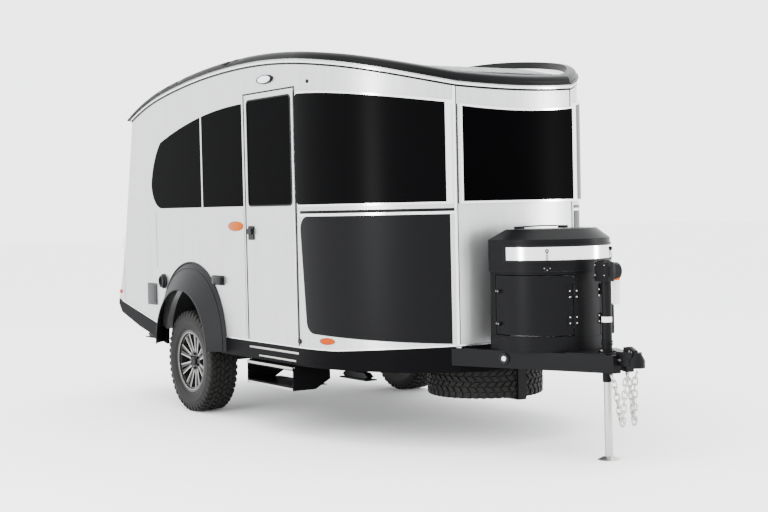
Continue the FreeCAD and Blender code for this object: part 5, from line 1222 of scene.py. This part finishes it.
def addNosing(mesh, z):
    spec = stepSpec
    rear, front, face, half = spec["rear"], spec["front"], spec["faceY"], spec["noseHalf"]
    addBlock(mesh, (rear, face, z - half), (front, face + spec["noseDepth"], z + half), spec["noseBevel"])
    low, high = spec["ribRise"]
    inset = spec["ribInset"]
    for index in range(spec["ribs"]):
        y = face + spec["ribStart"] + spec["ribPitch"] * index
        addBlock(mesh, (rear + inset, y, z + low), (front - inset, y + spec["ribWidth"], z + high),
                 spec["ribBevel"])


nosings = bmesh.new()
for z in stepSpec["noses"]:
    addNosing(nosings, z)
finishPiece("step_nosings", nosings, "zinc_steel", "entry_step")
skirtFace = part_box("belly_skirt_right")[0][1]
sill = bmesh.new()
outer, inner = skirtFace - stepSpec["stripProud"], skirtFace + stepSpec["stripSunk"]
for rear, front, foot, top in stepSpec["strips"]:
    addBlock(sill, (rear, outer, foot), (front, inner, top), stepSpec["stripBevel"])
finishPiece("step_sill_strips", sill, "zinc_steel")
print("step details made")

# Solar panel: cells on its sloping top

solarSpec = {
    "rows": 4,
    "columns": 9,
    "border": 0.022,
    "gap": 0.004,
    "lift": 0.0012,
    "sunk": 0.001,
    "endZone": 0.02,
}
solarPoints = [vert.co for vert in frame["nodes"]["solar_panel"].data.vertices]
rearX = min(point.x for point in solarPoints)
frontX = max(point.x for point in solarPoints)
rearTop = max(point.z for point in solarPoints if point.x < rearX + solarSpec["endZone"])
frontTop = max(point.z for point in solarPoints if point.x > frontX - solarSpec["endZone"])
solarHalf = max(point.y for point in solarPoints)
solarRun = Vector((frontX - rearX, 0, frontTop - rearTop))
leftward = Vector((0, 1, 0))
slope = solarRun.normalized()
solarPlace = axesAt(Vector((rearX, 0, rearTop)), slope, leftward, slope.cross(leftward))
border, gap = solarSpec["border"], solarSpec["gap"]
cellLong = (solarRun.length - 2 * border) / solarSpec["rows"]
cellWide = 2 * (solarHalf - border) / solarSpec["columns"]
cells = bmesh.new()
for row in range(solarSpec["rows"]):
    for column in range(solarSpec["columns"]):
        x = border + row * cellLong
        y = -solarHalf + border + column * cellWide
        addBlock(cells, (x + gap, y + gap, -solarSpec["sunk"]),
                 (x + cellLong - gap, y + cellWide - gap, solarSpec["lift"]), place=solarPlace)
finishPiece("solar_cells", cells, "solar_glass")
print("solar cells made")

# Rear: lamps, blank plate, hatch handles

rearSpec = {
    "knee": (-2.4472, 0.818),
    "topX": -2.1572,
    "plateZ": 0.900,
    "plate": ((-0.160, -0.082, 0.005), (0.160, 0.082, 0.008), 0.0012),
    "holder": (
        ((-0.170, -0.092, -0.002), (0.170, 0.092, 0.006), 0.003),
        ((-0.082, 0.096, -0.002), (-0.038, 0.116, 0.018), 0.005),  # the plate's two lamps
        ((0.038, 0.096, -0.002), (0.082, 0.116, 0.018), 0.005),
    ),
    "handleY": (-0.36, 0.36),
    "handleZ": 1.085,
    "handleBase": ((-0.062, -0.026, -0.002), (0.062, 0.026, 0.006), 0.004),
    "handleGrip": ((-0.044, -0.012, 0.004), (0.044, 0.012, 0.015), 0.005),
}
tailSpec = {
    "rim": 0.009,
    "rimSunk": 0.002,
    "rimDrop": 0.004,
    "rimBevel": 0.003,
    "proud": 0.020,
    "lensShare": 0.88,
    "lensSunk": 0.010,
    "lensProud": 0.002,
    "lensBevel": 0.0012,
    "ribs": 4,
    "ribShare": (0.08, 0.92),
    "lenses": {  # finish, and the foot and top as shares of the lamp's half height
        "reverse": ("clear_lens", -0.16, 0.16),
        "turn": ("amber_lens", -0.94, -0.46),
    },
}


def rearPlace(y, z):
    # on the sloping rear panel, local X across, local Y up the panel and local Z outward
    kneeX, kneeZ = rearSpec["knee"]
    topX = rearSpec["topX"]
    topZ = roofHeight(topX)
    up = Vector((topX - kneeX, 0, topZ - kneeZ)).normalized()
    across = Vector((0, -1, 0))
    x = kneeX + (z - kneeZ) / (topZ - kneeZ) * (topX - kneeX)
    return axesAt(Vector((x, y, z)), across, up, across.cross(up))


platePlace = rearPlace(0.0, rearSpec["plateZ"])
finishBlocks("plate_holder", rearSpec["holder"], platePlace, "black_plastic")
finishBlocks("blank_plate", [rearSpec["plate"]], platePlace, "bottle_white")
handles = bmesh.new()
for y in rearSpec["handleY"]:
    place = rearPlace(y, rearSpec["handleZ"])
    addBlock(handles, *rearSpec["handleBase"], place)
    addBlock(handles, *rearSpec["handleGrip"], place)
finishPiece("hatch_handles", handles, "black_plastic", "rear_hatch")


def addLampRim(mesh, wide, tall, place):
    # four bars round a lamp of these half sizes
    outWide, outTall = wide + tailSpec["rim"], tall + tailSpec["rim"]
    for low, high in (((-outWide, tall), (outWide, outTall)), ((-outWide, -outTall), (outWide, -tall)),
                      ((-outWide, -tall), (-wide, tall)), ((wide, -tall), (outWide, tall))):
        addBlock(mesh, (*low, -tailSpec["rimSunk"]), (*high, tailSpec["proud"] - tailSpec["rimDrop"]),
                 tailSpec["rimBevel"], place)


def addLampLens(mesh, wide, low, high, place):
    # ribs one over another between two heights
    wide *= tailSpec["lensShare"]
    step = (high - low) / tailSpec["ribs"]
    foot, top = tailSpec["ribShare"]
    for index in range(tailSpec["ribs"]):
        addBlock(mesh, (-wide, low + (index + foot) * step, tailSpec["proud"] - tailSpec["lensSunk"]),
                 (wide, low + (index + top) * step, tailSpec["proud"] + tailSpec["lensProud"]),
                 tailSpec["lensBevel"], place)


lampPoints = [vert.co for vert in frame["nodes"]["tail_lights"].data.vertices]
lampInner = min(abs(point.y) for point in lampPoints)
lampOuter = max(abs(point.y) for point in lampPoints)
lampLow = min(point.z for point in lampPoints)
lampHigh = max(point.z for point in lampPoints)
lampWide = (lampOuter - lampInner) / 2
lampTall = (lampHigh - lampLow) / 2
for word, side in sides.items():
    place = rearPlace(side * (lampInner + lampOuter) / 2, (lampHigh + lampLow) / 2)
    bezel = bmesh.new()
    addLampRim(bezel, lampWide, lampTall, place)
    finishPiece(f"tail_light_rim_{word}", bezel, "black_plastic")
    for name, (finish, low, high) in tailSpec["lenses"].items():
        lens = bmesh.new()
        addLampLens(lens, lampWide, low * lampTall, high * lampTall, place)
        finishPiece(f"tail_light_{name}_{word}", lens, finish)
print("rear details made")
